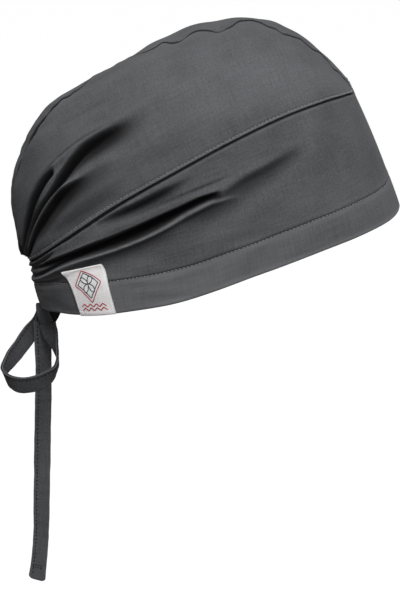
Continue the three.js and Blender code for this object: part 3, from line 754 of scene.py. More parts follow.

# Folds. Each row of a path is turn, share up the rib, height, reach above and reach below, in
# millimetres. crisp shapes the profile, under 2 it comes to a point and over 2 it is boxier, and
# edge is the same above the line only. lean pushes the fold up the rib, dark scales the painted shade
# in its depth beside the others, rub scales the painted highlight on its crest. Crisp is 2 and lean 0 if
# not said.
capFolds = {
    ("right", "crown"): [
        {"edge": 2.4, "lean": 0.3, "dark": 1.8, "path": [
            (106, 0.335, 0, 8, 9), (114.8, 0.35, -1.4, 5.4, 8.5), (120.5, 0.364, -3, 4.2, 7.6),
            (126, 0.365, -4.4, 3.8, 6.6), (131, 0.356, -5.2, 3.6, 5.8), (136, 0.324, -5.6, 3.4, 5),
            (140, 0.286, -5.4, 3.1, 4.6), (144, 0.252, -4.6, 2.6, 3.7), (150, 0.227, -3.6, 2, 2.5),
            (156, 0.2, -2.8, 1.6, 1.8), (161, 0.178, -2.2, 1.2, 1.3), (168, 0.15, -1.5, 0.8, 0.8),
            (176, 0.118, -0.9, 0.5, 0.5)]},
        {"crisp": 1.4, "path": [
            (114, 0.4, 0, 7, 3), (122, 0.402, 0.6, 6, 2.4), (130, 0.398, 0.9, 6, 2.2),
            (138, 0.38, 0.9, 4, 2), (146, 0.37, 0.5, 4, 2), (152, 0.38, 0, 4, 2)]},
        {"crisp": 2.6, "edge": 1.6, "lean": 0.25, "dark": 3, "path": [
            (141.8, 0.352, 0, 3.4, 2.4), (143.6, 0.347, -1.8, 4, 2.6), (147, 0.326, -3, 4.8, 3.2),
            (151, 0.3, -3.4, 5, 3.6), (156.2, 0.262, -3.1, 4.4, 3.2), (161.2, 0.232, -2.6, 3.4, 2.7),
            (167.5, 0.2, -1.9, 2.2, 1.7), (175, 0.19, -1, 1.2, 1)]},
        {"crisp": 1.3, "lean": 0.2, "rubAndHighlight": 0.3, "path": [
            (137, 0.33, 0, 1.2, 1.2), (142.5, 0.314, 1.4, 1, 1), (146, 0.287, 2, 0.9, 0.9),
            (151.8, 0.252, 2, 0.8, 0.8), (158.2, 0.211, 1.5, 0.7, 0.7), (167.8, 0.167, 1, 0.6, 0.6),
            (176, 0.152, 0.6, 0.5, 0.5)]},
        {"crisp": 1.3, "path": [
            (126, 0.202, 0, 3, 2.6), (133.8, 0.229, 1.2, 2.2, 1.6), (139.2, 0.229, 1.9, 1.5, 1.3),
            (144.8, 0.221, 2.1, 1.1, 1.1), (150.8, 0.201, 1.9, 0.9, 0.9), (157, 0.176, 1.4, 0.8, 0.8),
            (168, 0.138, 0.8, 0.6, 0.6), (176, 0.106, 0.5, 0.5, 0.5)]},
        {"crisp": 1.8, "edge": 2.6, "lean": 0.2, "dark": 2.8, "path": [
            (112, 0.168, 0, 4, 6), (121, 0.182, -0.4, 3.6, 6.6), (128, 0.192, -0.9, 3.2, 6.6),
            (133, 0.197, -1.7, 2.9, 6), (137.8, 0.199, -3, 2.7, 5.4), (141.5, 0.194, -4, 2.6, 5),
            (145, 0.184, -4.3, 2.6, 4.8), (150.5, 0.162, -4, 2.5, 4.2), (157.5, 0.141, -2.9, 2.1, 3),
            (164.5, 0.113, -2.1, 1.5, 2), (175, 0.08, -1, 0.8, 1)]},
        {"crisp": 1.5, "path": [
            (119, 0.583, 0, 2, 2), (125, 0.587, -0.4, 1.6, 1.6), (136, 0.595, -0.5, 1.6, 1.6),
            (145, 0.603, 0, 2, 2)]},
        {"crisp": 1.5, "path": [
            (116, 0.398, 0, 1.2, 1.4), (124, 0.415, -0.4, 1.1, 1.2), (132, 0.415, -0.6, 1, 1.1),
            (139, 0.405, -0.6, 0.9, 1), (145, 0.395, -0.4, 1, 1.2), (150, 0.385, 0, 1, 1.2)]},
        {"path": [
            (150, 0.5, 0, 5, 5), (158, 0.46, -0.5, 4, 4), (167, 0.42, -0.7, 3, 3),
            (175, 0.4, -0.5, 1.6, 1.6)]},
        {"dark": 2.4, "path": [
            (114, 0.06, 0, 4, 4), (122, 0.06, -0.5, 4.4, 4), (131, 0.06, -0.7, 4.4, 4),
            (141, 0.06, -0.5, 3, 3), (149, 0.06, 0, 2, 2)]},
    ],
    ("right", "band"): [
        {"lean": 0.2, "path": [
            (93, 0.872, 0, 3, 4), (100, 0.888, -1.8, 2.8, 4), (107, 0.9, -3.2, 2.5, 3.6),
            (113, 0.911, -3.4, 2.2, 3.2), (120, 0.922, -2.2, 2, 3), (128, 0.932, 0, 2, 2.6)]},
        {"crisp": 1.3, "path": [
            (80, 0.772, 0, 1, 1), (88, 0.788, -0.8, 0.9, 1.1), (98, 0.808, -1, 0.9, 1.2),
            (108, 0.828, -0.8, 0.9, 1.2), (118, 0.842, 0, 1, 1)]},
        {"edge": 3, "lean": 0.3, "dark": 2.4, "path": [
            (85.5, 0.684, 0, 2, 3), (88, 0.697, -2.6, 2.4, 3.4), (92.8, 0.715, -4.2, 2.6, 3.8),
            (98.5, 0.718, -5, 2.6, 3.8), (104.5, 0.726, -5.5, 2.5, 3.7), (110, 0.73, -5.6, 2.4, 3.6),
            (116.5, 0.735, -5.6, 2.3, 3.5), (123, 0.746, -5.2, 2.2, 3), (130, 0.771, -4.6, 2, 2.4),
            (139, 0.798, -3.8, 1.8, 1.9), (149, 0.825, -3, 1.5, 1.5), (159, 0.85, -2.3, 1.2, 1.2),
            (169, 0.857, -1.6, 0.9, 0.9), (178, 0.85, -1, 0.7, 0.7)]},
        {"crisp": 3, "dark": 0.8, "path": [
            (89, 0.68, 0, 3, 3), (97, 0.688, -1.5, 4.4, 3.6), (105, 0.674, -2.1, 5.6, 4),
            (113, 0.664, -2.3, 6, 4.2), (120, 0.668, -2.2, 5.6, 4), (128, 0.694, -1.6, 4.4, 3.4),
            (138, 0.72, 0, 2.6, 2.6)]},
        {"lean": 0.2, "path": [
            (112, 0.69, 0, 2, 2), (118, 0.697, -1.4, 1.9, 2), (126, 0.715, -2.6, 1.7, 1.9),
            (132, 0.722, -3.2, 1.5, 1.7), (139, 0.732, -3.2, 1.3, 1.5), (146, 0.738, -2.7, 1.2, 1.2),
            (155.5, 0.728, -2, 1, 1), (168, 0.692, -1.3, 0.8, 0.8), (178, 0.672, -0.8, 0.6, 0.6)]},
        {"crisp": 1.1, "path": [
            (78, 0.6, 0, 4, 5), (86, 0.64, 1.3, 3, 3.6), (96, 0.642, 2.4, 2.2, 3),
            (105, 0.618, 2.9, 1.9, 2.8),
            (113, 0.604, 3, 1.8, 2.7), (120, 0.607, 2.9, 1.7, 2.6), (129, 0.628, 2.6, 1.6, 2.3),
            (138, 0.652, 2.2, 1.4, 1.9), (150, 0.645, 1.7, 1.2, 1.5), (160, 0.628, 1.2, 1, 1.1),
            (176, 0.606, 0.7, 0.7, 0.7)]},
        {"path": [
            (78, 0.55, 0, 3, 7), (88, 0.6, -1, 2, 8), (96, 0.602, -1.4, 1.7, 8.4),
            (105, 0.58, -1.7, 1.6, 8.4),
            (113, 0.568, -1.8, 1.6, 8), (120, 0.571, -1.8, 1.6, 7.4), (129, 0.594, -1.5, 1.5, 6.4),
            (138, 0.62, -1.1, 1.4, 5), (150, 0.616, -0.8, 1.2, 3.4), (162, 0.59, 0, 1.2, 2)]},
        {"lean": 0.2, "path": [
            (144, 0.51, 0, 1.6, 2.6), (151.8, 0.513, -1.8, 1.5, 2.4), (159, 0.525, -2.2, 1.3, 2.2),
            (170, 0.525, -1.6, 1, 1.5), (179, 0.525, -0.9, 0.7, 0.9)]},
        {"path": [
            (150, 0.36, 0, 2, 2), (158, 0.35, -0.8, 1.8, 1.8), (170, 0.36, -1, 1.2, 1.2),
            (179, 0.37, -0.6, 0.8, 0.8)]},
        {"path": [
            (55, 0.715, 0, 3, 4), (61, 0.705, -1.3, 3.6, 5), (69, 0.677, -2.2, 4, 6.4),
            (77, 0.664, -2.5, 4, 7.5),
            (84.5, 0.64, -2.2, 3.6, 8), (92, 0.6, -1.2, 3.4, 8), (100, 0.58, 0, 3, 8)]},
        {"path": [
            (146, 0.925, 0, 1, 1), (153, 0.92, -1.2, 1, 1), (163, 0.905, -1.6, 0.9, 0.9),
            (172, 0.89, -1.2, 0.8, 0.8), (179, 0.88, -0.6, 0.6, 0.6)]},
        {"path": [
            (141, 0.47, 0, 2, 2.4), (151, 0.47, -1.2, 1.8, 2.4), (161, 0.48, -1.4, 1.5, 2),
            (171, 0.48, -1, 1.1, 1.5), (179, 0.47, -0.6, 0.8, 1)]},
    ],
    ("left", "crown"): [
        {"lean": 0.25, "path": [
            (104, 0.41, 0, 6, 8), (116, 0.418, -3, 4.4, 7.4), (128, 0.405, -6, 3.6, 6.4),
            (142, 0.375, -7.4, 3, 4), (156, 0.34, -5.4, 2.2, 2.4), (168, 0.315, -3.2, 1.4, 1.5),
            (177, 0.3, -1.5, 0.9, 0.9)]},
        {"lean": 0.25, "path": [
            (122, 0.25, 0, 4, 5), (132, 0.232, -3.8, 3.2, 4.6), (144, 0.208, -6.2, 2.7, 3.4),
            (156, 0.192, -5.2, 2, 2.2), (168, 0.183, -3, 1.3, 1.3), (177, 0.18, -1.5, 0.8, 0.8)]},
        {"crisp": 1.3, "lean": 0.15, "path": [
            (120, 0.325, 0, 3, 3), (132, 0.305, 1.6, 2.2, 2), (146, 0.272, 2.3, 1.5, 1.4),
            (160, 0.25, 1.4, 1, 1), (176, 0.24, 0.6, 0.6, 0.6)]},
        {"path": [
            (132, 0.53, 0, 4, 5), (144, 0.512, -2.6, 3.4, 4), (156, 0.49, -3.4, 2.6, 3),
            (168, 0.47, -2, 1.6, 1.8), (176, 0.46, -1, 1, 1)]},
        {"lean": 0.1, "path": [
            (138, 0.1, 0, 2.4, 4), (149, 0.09, -2.4, 2, 3), (164, 0.085, -2.2, 1.3, 1.6),
            (176, 0.08, -1, 0.8, 0.9)]},
        {"path": [
            (152, 0.7, 0, 4, 4), (162, 0.66, -1.2, 3, 3), (172, 0.62, -1.2, 1.8, 1.8),
            (177, 0.6, -0.7, 1.2, 1.2)]},
    ],
    ("left", "band"): [
        {"lean": 0.25, "path": [
            (74, 0.675, 0, 4, 5), (88, 0.69, -2.6, 3.4, 4.8), (104, 0.705, -5.8, 2.9, 4.4),
            (122, 0.722, -6.4, 2.5, 3.6), (140, 0.745, -5, 1.9, 2.2), (158, 0.765, -3, 1.3, 1.4),
            (178, 0.78, -1.1, 0.7, 0.7)]},
        {"crisp": 1.3, "lean": -0.2, "path": [
            (86, 0.598, 0, 5, 4), (104, 0.605, 2.4, 4, 2.8), (122, 0.612, 3.2, 3, 2.4),
            (140, 0.625, 2.6, 2, 1.9), (158, 0.632, 1.6, 1.3, 1.3), (177, 0.64, 0.7, 0.7, 0.7)]},
        {"path": [
            (56, 0.585, 0, 7, 8), (76, 0.562, -1.8, 7, 8), (100, 0.54, -2.2, 5, 7), (130, 0.51, 0, 4, 6)]},
        {"lean": 0.1, "path": [
            (102, 0.885, 0, 3, 3), (118, 0.9, -2.2, 2.4, 3), (134, 0.885, 0, 2.4, 3)]},
        {"lean": 0.2, "path": [
            (120, 0.84, 0, 2, 2), (134, 0.852, -2.4, 1.6, 1.8), (152, 0.865, -2.4, 1.2, 1.3),
            (174, 0.87, -1, 0.7, 0.7)]},
        {"lean": 0.1, "path": [
            (138, 0.46, 0, 2, 2.4), (152, 0.45, -2, 1.6, 2.2), (170, 0.45, -1.4, 1, 1.3),
            (179, 0.45, -0.7, 0.7, 0.8)]},
    ],
}
clothDetail = {
    "cloth": 0.9,              # thickness
    "casing": 1.8,
    "casingSwell": 0.6,
    "sideTopstitch": 2.3,      # mm above the side seam
    "seamWiggle": 23.0,        # wavelength of the centre seam's wander
    "wanderSideways": 0.5,     # share of the wander that is sideways
    "wanderDip": 0.15,         # and the dip for each mm of it
    "lip": (0.16, 1.35, 0.45, 0.4),   # of a fold: height, place, half width and what that adds
    "crownSeamGap": 0.16,
    "centreGap": 0.14,
    "valleyDepth": 1.5,        # the fold tables' heights are taken times these
    "ridgeHeight": 1.3,
    "hollowDepth": 3.4,        # depth that sets how dark a fold's painted shade gets
    "hollowPower": 1.5,
    "crestHighlightReach": 0.9,          # half width of the painted highlight line on a sharp crest
    "crestUnder": 1.35,        # crispness under which a crest gets a painted highlight
    "crestHeight": 2.4,        # and the height at which that highlight is full
    "crestRelief": 0.8,        # share of the painted shade that a crest with a painted highlight loses
}
# wander of the centre seam: turn, millimetres to the wearer's right
seamWander = ((0, 2), (8, 6), (18, 6), (29, 2), (39, 3), (47, 3.5), (54, 8), (60, 2), (66, -2.5), (73, -4),
              (79, 5), (84, 8), (90, 3), (94, -1.5), (100.5, 7), (106.5, -3.5), (112, -1), (117.5, -3),
              (125, -3), (131, -2), (137, 0), (142, 0.5), (149, 0), (155, 0.5), (162, 0.5), (170, 0),
              (180, 0))


def foldsAt(side, on, turn, up, length):
    look = clothDetail
    height, shift, paintedShade, rubAndHighlight = (np.zeros_like(turn) for _ in range(4))
    lipHeight, lipPlace, lipReach, lipMore = look["lip"]
    for fold in capFolds[side, on]:
        path = np.array(fold["path"], float)
        crisp, lean = fold.get("crisp", 2), fold.get("lean", 0)
        inside = turn >= path[0, 0]
        if path[-1, 2] == 0:
            inside &= turn <= path[-1, 0]
        centre, tall, above, below = (throughPoints(path[:, 0], path[:, k], turn) for k in (1, 2, 3, 4))
        valley = tall < 0
        tall = np.where(valley, tall * look["valleyDepth"], tall * look["ridgeHeight"])
        off = (up - centre) * length + lean * np.abs(tall)
        reach = np.where(off > 0, above, below)
        shape = np.exp(-np.abs(off / reach) ** np.where(off > 0, fold.get("edge", crisp), crisp))
        lip = lipHeight * bell(off - lipPlace * reach, lipReach * reach + lipMore) * (off > 0)
        one = inside * tall * shape
        height += one - np.where(valley, inside * tall * lip, 0)
        shift += lean * np.abs(one)
        # painted shade in the depth of each valley
        paintedShade += np.where(valley, -one, 0) * fold.get("dark", 1)
        # painted highlight along sharp crests
        if crisp < look["crestUnder"]:
            wornAndLit = np.clip(tall / look["crestHeight"], 0, 1) * bell(off, look["crestHighlightReach"])
            rubAndHighlight += inside * wornAndLit * fold.get("rubAndHighlight", 1)
    return height, shift, 1 - np.exp(-(paintedShade / look["hollowDepth"]) ** look["hollowPower"]), rubAndHighlight


# painted shade lessened on crests that carry a painted highlight
def relieved(paintedShade, rubAndHighlight):
    return paintedShade * (1 - clothDetail["crestRelief"] * np.clip(rubAndHighlight, 0, 1))


def pleatsAt(row, up):
    height, number, start = row
    return height * np.sin(2 * np.pi * (number * up + start))


def casingShare(turn):
    loss = capForm["casingBackLoss"] * ease(turn, capForm["casingNarrowsFrom"], 180)
    return (capForm["casingHeight"] - loss) / ribLength("band", turn)


# relief of the cloth besides its folds: rows for wrinkle and for rolls, in mm
bandRelief = {
    "seeds": {"left": 40, "right": 50},
    "broad": (0, 6, 34, 80, 0.45, 1),
    "creases": (1, 7, 9, 24, 0.3, 0.4),
    "fineCreases": (2, 8, 4, 9, 0.1, 0.16),
    "hemPull": (61, 6, 2.2, 7, 0.11, 1),
    "gather": (62, 5, 5, 11, 0.14, 1),
    "seamPull": (63, 6, 3.5, 9, 0.2, 1),
    "pleats": (0.5, 6.4, 0.25),      # height, number up the band, start
    "hemRolls": ((-0.42, 0, 0.5), (0.18, 1.9, 1.3)),
    "hemPullReach": 3.2,
    "seamRolls": ((-1.6, 0, 0.65), (0.22, 1.7, 1.2)),
    "seamPullAt": (1.5, 2.8),        # place and half width
    "casingHold": 0.25,              # share of the folds that the casing keeps
    "hemShade": ((0.4, 0.3, 0.7),),
    "seamShade": ((0.95, 0, 0.95),),
    "backShade": 0.36,
    "broadIn": (2, 20),              # turns over which a thing comes in
    "creasesIn": (10, 110),
    "calmIn": (165, 179),
    "gatherIn": (150, 176),
    "pleatsIn": (146, 172),
    "backShadeIn": (122, 164),
    "meetIn": (170, 180),
}


def bandDetail(side, turn, up, length):
    look = bandRelief
    seed = look["seeds"][side]
    own = foldsAt(side, "band", turn, up, length)
    other = foldsAt("right" if side == "left" else "left", "band", turn, up, length)
    meet = 0.5 * ease(turn, *look["meetIn"])     # both sides come to one form at the back
    height, shift, paintedShade, rubAndHighlight = (a * (1 - meet) + b * meet for a, b in zip(own, other))
    below, under = up * length, (1 - up) * length
    top = casingShare(turn) * length
    overHem = below - top
    along = np.interp(turn, *hemArc)
    offCasing = ease(below, top - 1, top + 5)
    kept = look["casingHold"] + (1 - look["casingHold"]) * offCasing
    calm = 1 - ease(turn, *look["calmIn"])
    broad = wrinkle(look["broad"], seed, along, below) * ease(turn, *look["broadIn"])
    creases = sum(wrinkle(look[kind], seed, along, below) for kind in ("creases", "fineCreases")) \
        * ease(turn, *look["creasesIn"])
    swell = clothDetail["casingSwell"] * np.sqrt(1 - np.clip(below / top, 0, 1) ** 2)
    hemPull = wrinkle(look["hemPull"], 0, along) * bell(overHem, look["hemPullReach"])
    gather = wrinkle(look["gather"], 0, along) * ease(turn, *look["gatherIn"]) \
        * ease(below, 0, 3) * (1 - ease(below, top, top + 7))
    pleats = pleatsAt(look["pleats"], up) * ease(turn, *look["pleatsIn"]) * offCasing
    pullPlace, pullReach = look["seamPullAt"]
    seamPull = wrinkle(look["seamPull"], 0, np.interp(turn, *seamArc)) * bell(under - pullPlace, pullReach)
    height = height * kept + (broad + creases) * calm + swell + gather + pleats \
        + rolls(look["hemRolls"], overHem) + hemPull + rolls(look["seamRolls"], under) + seamPull
    # painted shade of the folds, at the hem roll, at the gathered back and along the side seam
    paintedShade = np.maximum(paintedShade * kept, rolls(look["hemShade"], overHem))
    paintedShade = relieved(np.maximum(paintedShade, look["backShade"] * ease(turn, *look["backShadeIn"])), rubAndHighlight)
    paintedShade = np.maximum(paintedShade, rolls(look["seamShade"], under))
    return height, shift * offCasing, np.zeros_like(turn), paintedShade, rubAndHighlight


crownRelief = {
    "seeds": {"left": 70, "right": 80},
    "broad": (0, 7, 34, 90, 0.45, 1),
    "creases": (1, 7, 12, 30, 1, 0.35),
    "creaseHeight": (0.12, 0.26),    # at the front, and what the back adds
    "fineCreases": (2, 8, 4, 10, 0.11, 0.14),
    "seamPull": (66, 6, 3, 7, 0.2, 1),
    "pleats": (0.4, 7.6, -0.1),      # height, number up the rib, start
    "seamRolls": ((-1.6, 0, 0.6), (0.38, 1.15, 0.75)),
    "stitchRolls": ((-0.12, 0, 0.42), (0.1, 1.5, 1.2)),
    "seamPullAt": (1.8, 2.4),        # place and half width
    "centreRolls": ((-1.5, 0, 1.2),),
    "centreWaves": (0.5, 0.6),       # height and start of the even waves along the centre seam
    "centreWander": (64, 4, 7, 14, 0.3, 1),
    "centreReach": 7,
    "dipReach": 5,
    "sideWander": (65, 4, 8, 15, 0.25, 1),
    "sideReach": {"left": 9, "right": 15},
    "puffs": {                       # height, turn, its reach, mm under the centre seam, its reach
        "left": ((1.4, 156, 15, 8, 6), (-2.8, 126, 13, 18, 14)),
        "right": ((-6, 169, 14, 12, 11),),
    },
    "centreShade": {"left": 2.6, "right": 2.1},   # mm from the centre seam that get painted shade
    "seamShade": ((0.95, 0, 0.85),),
    "backShade": 0.26,
    "backShadeIn": (140, 168),       # turns over which a thing comes in
    "creasesIn": (30, 130),
    "fineCreasesIn": (70, 150),
    "calmIn": (165, 179),
    "pleatsIn": (160, 174),
    "puffOut": (174, 180),
    "reliefIn": (4, 22),
    "reliefOut": (172, 180),
}


def crownDetail(side, turn, up, length):
    look = crownRelief
    seed = look["seeds"][side]
    height, shift, paintedShade, rubAndHighlight = foldsAt(side, "crown", turn, up, length)
    low, high = up * length, (1 - up) * length
    room = ease(length, 3, 30)
    seamRun, ridgeRun = np.interp(turn, *seamArc), np.interp(turn, *ridgeArc)
    broad = wrinkle(look["broad"], seed, ridgeRun, low) * ease(low, 2, 25) * ease(high, 2, 20)
    front, more = look["creaseHeight"]
    creaseHeight = front + more * ease(turn, *look["creasesIn"])
    creases = wrinkle(look["creases"], seed, ridgeRun, low) * creaseHeight \
        + wrinkle(look["fineCreases"], seed, ridgeRun, low) * ease(turn, *look["fineCreasesIn"])
    creases = creases * ease(low, 2, 15) * ease(high, 2, 10) * (1 - 0.6 * ease(turn, *look["calmIn"]))
    beside = rolls(look["seamRolls"], low) + rolls(look["stitchRolls"], low - clothDetail["sideTopstitch"])
    pullPlace, pullReach = look["seamPullAt"]
    seamPull = wrinkle(look["seamPull"], 0, seamRun) * bell(low - pullPlace, pullReach)
    pleats = pleatsAt(look["pleats"], up) * ease(turn, *look["pleatsIn"]) \
        * ease(low, 0.5, 3) * ease(high, 1, 5)
    puff = sum(tall * bell(turn - at, wide) * bell(high - down, deep)
               for tall, at, wide, down, deep in look["puffs"][side])
    if side == "right":
        puff = puff * (1 - ease(turn, *look["puffOut"])) * ease(high, 0, 4)
    wander = throughPoints(*np.array(seamWander, float).T, turn)
    waves, start = look["centreWaves"]
    centre = waves * np.sin(2 * np.pi * ridgeRun / clothDetail["seamWiggle"] + start)
    centre = (centre + wrinkle(look["centreWander"], 0, ridgeRun)) * bell(high, look["centreReach"]) \
        - clothDetail["wanderDip"] * wander * bell(high, look["dipReach"])
    sideways = -(clothDetail["wanderSideways"] * wander + wrinkle(look["sideWander"], 0, ridgeRun)) \
        * bell(high, look["sideReach"][side])
    alongRidge = ease(turn, *look["reliefIn"]) * (1 - 0.7 * ease(turn, *look["reliefOut"]))
    height = height * ease(low, 0, 4) * ease(high, 0, 8) + (broad + creases) * room \
        + beside * (0.3 + 0.7 * room) + seamPull + pleats \
        + (puff + rolls(look["centreRolls"], high) + centre) * alongRidge
    # painted shade of the folds, at the gathered back, along the side seam and beside the centre seam
    paintedShade = np.maximum(paintedShade * ease(low, 0, 4), look["backShade"] * ease(turn, *look["backShadeIn"]))
    paintedShade = np.maximum(relieved(paintedShade * ease(high, 0, 8), rubAndHighlight), rolls(look["seamShade"], low))
    shade = np.exp(-(high / look["centreShade"][side]) ** 4)
    shift = shift * ease(low, 1, 6) * ease(high, 1, 9)
    return height, shift, sideways * alongRidge, np.maximum(paintedShade, shade), rubAndHighlight


def capCloth(side, on, turn, up, lift=0.0, bridge=0.0):
    # a place on the outside of the cloth, lift stands it off, bridge spans small grooves, in mm
    turn, up = np.asarray(turn, float), np.asarray(up, float)
    base = bandBase if on == "band" else crownBase
    around = base(turn + capForm["turnStep"], up) - base(turn - capForm["turnStep"], up)
    upwards = base(turn, up + capForm["upStep"]) - base(turn, up - capForm["upStep"])
    out, rise = unit(np.cross(around, upwards)), unit(upwards)
    length = ribLength(on, turn)
    detail = bandDetail if on == "band" else crownDetail
    height, shift, sideways = detail(side, turn, up, length)[:3]
    if bridge:
        nearby = [detail(side, turn, np.clip(up + s * bridge / length, capForm["lowestUp"], 1), length)[0]
                  for s in np.linspace(-1, 1, capForm["bridgeSteps"])]
        height, shift = sum(nearby) / len(nearby), 0 * shift
    point = base(turn, up) + out * (height + lift)[..., None] + rise * shift[..., None]
    if side == "right":
        point[..., 1] *= -1
    if on == "crown":
        point[..., 1] += sideways
        gap = clothDetail["centreGap"]
        if side == "left":
            point[..., 1] = np.maximum(point[..., 1], sideways + gap)
        else:
            point[..., 1] = np.minimum(point[..., 1], sideways - gap)
    return point


def shadeAt(side, on, turn, up):
    # painted shade of the folds, seams and gathered back, and the painted highlight on sharp crests
    detail = bandDetail if on == "band" else crownDetail
    return detail(side, turn, up, ribLength(on, turn))[3:]


def capNormal(side, on, turn, up):
    turn, up = np.asarray(turn, float), np.asarray(up, float)
    sideStep, upStep = capForm["normalSteps"]
    a = capCloth(side, on, turn + sideStep, up) - capCloth(side, on, turn - sideStep, up)
    b = capCloth(side, on, turn, up + upStep) - capCloth(side, on, turn, up - upStep)
    normal = unit(np.cross(a, b))
    return -normal if side == "right" else normal


capGrid = {
    "crownColumns": 232,
    "crownRows": 186,
    "bandColumns": 208,          # on each side
    "bandRows": 104,
    "casingRows": 0.27,          # share of the band's rows
    "firstTurn": 0.6,
    "lastTurn": 179.75,
    "lipTurns": (0.28, 0.5, 0.72),   # places of the rounding points, shares of a half turn
    "lipDepth": 0.8,                 # share of the cloth's half thickness
}


def spread(count, weightAt, low, high):
    # places from low to high, closer together where the weight is large
    fine = np.linspace(low, high, 4000)
    run = np.concatenate([[0], np.cumsum((weightAt(fine[1:]) + weightAt(fine[:-1])) / 2)])
    return np.interp(np.linspace(0, run[-1], count), run, fine)


def columnWeight(turn):
    return 1 + 0.9 * ease(turn, 90, 140) + 0.8 * ease(turn, 150, 175)


def loopWall(name, outer, inner, coords, closed, material, wearAndLight, paintedShade):
    # closed cloth wall: outer and inner grids [column][row], rounded at both edges
    thick = outer - inner
    lips = []
    for row, inward in ((-1, -2), (0, 1)):
        edge = unit(outer[:, row] - outer[:, inward])
        middle = (outer[:, row] + inner[:, row]) / 2
        half = thick[:, row] / 2
        radius = np.linalg.norm(half, axis=-1, keepdims=True) * capGrid["lipDepth"]
        turns = np.array(capGrid["lipTurns"]) * np.pi
        arc = [middle + half * math.cos(t) + edge * radius * math.sin(t) for t in turns]
        lips.append(np.stack(arc if row == -1 else arc[::-1], 1))
    loops = np.concatenate([outer, lips[0], inner[:, ::-1], lips[1]], 1)
    columns, around = loops.shape[:2]
    rows, extra = outer.shape[1], lips[0].shape[1]
    u, v = coords[..., 0], coords[..., 1]
    lipStep = (np.arange(extra) + 1) / (extra + 1)
    rim, whole = v[:, -1:], 2 * v[:, -1:] - v[:, :1]
    vAll = np.concatenate([v, rim + lipStep, 2 * rim - v[:, ::-1] + 1, whole + 1 + lipStep, whole + 2], 1)
    uAll = np.concatenate([u, np.repeat(u[:, -1:], extra, 1), u[:, ::-1],
                           np.repeat(u[:, :1], extra + 1, 1)], 1)
    corner = np.stack([uAll, vAll], -1)
    if closed:
        last = corner[:1].copy()
        last[..., 0] += 2 * u[-1, 0] - u[-2, 0]
        corner = np.concatenate([corner, last])
    faces, uvs = ringFaces(columns, around, closed).tolist(), gridUvs(corner).tolist()
    if not closed:
        for column, turned in ((0, False), (columns - 1, True)):
            top = column * around
            for j in range(rows - 1):
                far = top + rows + extra + (rows - 1 - j)
                quad = [top + j, far, far - 1, top + j + 1]
                faces.append(quad if turned else quad[::-1])
                uvs += [(0, float(v[column, j]))] * 4
            for first in (rows - 1, 2 * rows + extra - 1):
                ends = [top + (first + k) % around for k in range(extra + 2)]
                faces.append(ends[::-1] if turned else ends)
                uvs += [(0, 0)] * len(ends)

    def aroundLoop(values, inside):
        ends = (np.repeat(values[:, k], extra, 1) for k in (slice(-1, None), slice(0, 1)))
        return np.concatenate([values, next(ends), inside * values[:, ::-1], next(ends)], 1).ravel()

    # the inner face gets no wear or painted light and half of the painted shade
    return newPiece(name, loops.reshape(-1, 3), faces, material, uvs,
                    aroundLoop(wearAndLight, 0), aroundLoop(paintedShade, 0.5))


def inwardFrom(outer, thickness, closed):
    # inner face of the cloth, at its thickness under the outer face
    if closed:
        ring = np.concatenate([outer[-1:], outer, outer[:1]])
        around = ring[2:] - ring[:-2]
    else:
        around = np.gradient(outer, axis=0)
    normal = unit(np.cross(around, np.gradient(outer, axis=1)))
    return outer - normal * thickness[..., None]


# wear, painted light and painted shade of the cloth: rows of rolls beside the seams, then broad areas
crownWearAndLight = {
    "seam": ((0.5, 1.1, 0.9),),
    "centre": ((0.25, 2, 1.6),),
    "lowHalf": (0.19, 0.35, 0.65),      # painted light, and the shares up the rib where it goes
    "frontShade": (0.07, 50, 28, 0.4, 0.6),   # painted shade, turn, reach, and where it comes in
}


def buildCrown(side, material):
    turn = spread(capGrid["crownColumns"], columnWeight, capGrid["firstTurn"], capGrid["lastTurn"])

    def rowWeight(up):
        return 1 + 1.5 * (1 - ease(up, 0.42, 0.6)) + 5 * bell(up, 0.05) + 3.2 * bell(1 - up, 0.06)

    up = spread(capGrid["crownRows"], rowWeight, 0, 1)
    length = ribLength("crown", turn)[:, None]
    t, u = np.meshgrid(turn, up, indexing="ij")
    first = clothDetail["crownSeamGap"] / length
    places = first + (1 - first) * u
    outer = capCloth(side, "crown", t, places)
    inner = inwardFrom(outer, np.full(t.shape, clothDetail["cloth"]), False)
    gap = clothDetail["centreGap"]
    if side == "right":
        inner = 2 * outer - inner           # the right side's grid runs the other way round
        inner[..., 1] = np.minimum(inner[..., 1], outer[:, -1:, 1] + gap - 0.05)
    else:
        inner[..., 1] = np.maximum(inner[..., 1], outer[:, -1:, 1] - gap + 0.05)
    along = np.interp(turn, *seamArc)[:, None] * (1 - u) + np.interp(turn, *ridgeArc)[:, None] * u
    coords = np.stack([along, u * length], -1)
    # painted shade and painted crest highlights; wear beside the seams, painted light on the lower half of
    # the rib and painted shade at the upper front
    paintedShade, rubAndHighlight = shadeAt(side, "crown", t, places)
    wornAndLit, start, end = crownWearAndLight["lowHalf"]
    wearAndLight = rolls(crownWearAndLight["seam"], u * length) + rolls(crownWearAndLight["centre"], (1 - u) * length) + rubAndHighlight \
        + wornAndLit * (1 - ease(u, start, end))
    dark, at, reach, start, end = crownWearAndLight["frontShade"]
    paintedShade = np.maximum(paintedShade, dark * bell(t - at, reach) * ease(u, start, end))
    return loopWall("crown" + side.capitalize(), outer, inner, coords, False, material, wearAndLight, paintedShade)


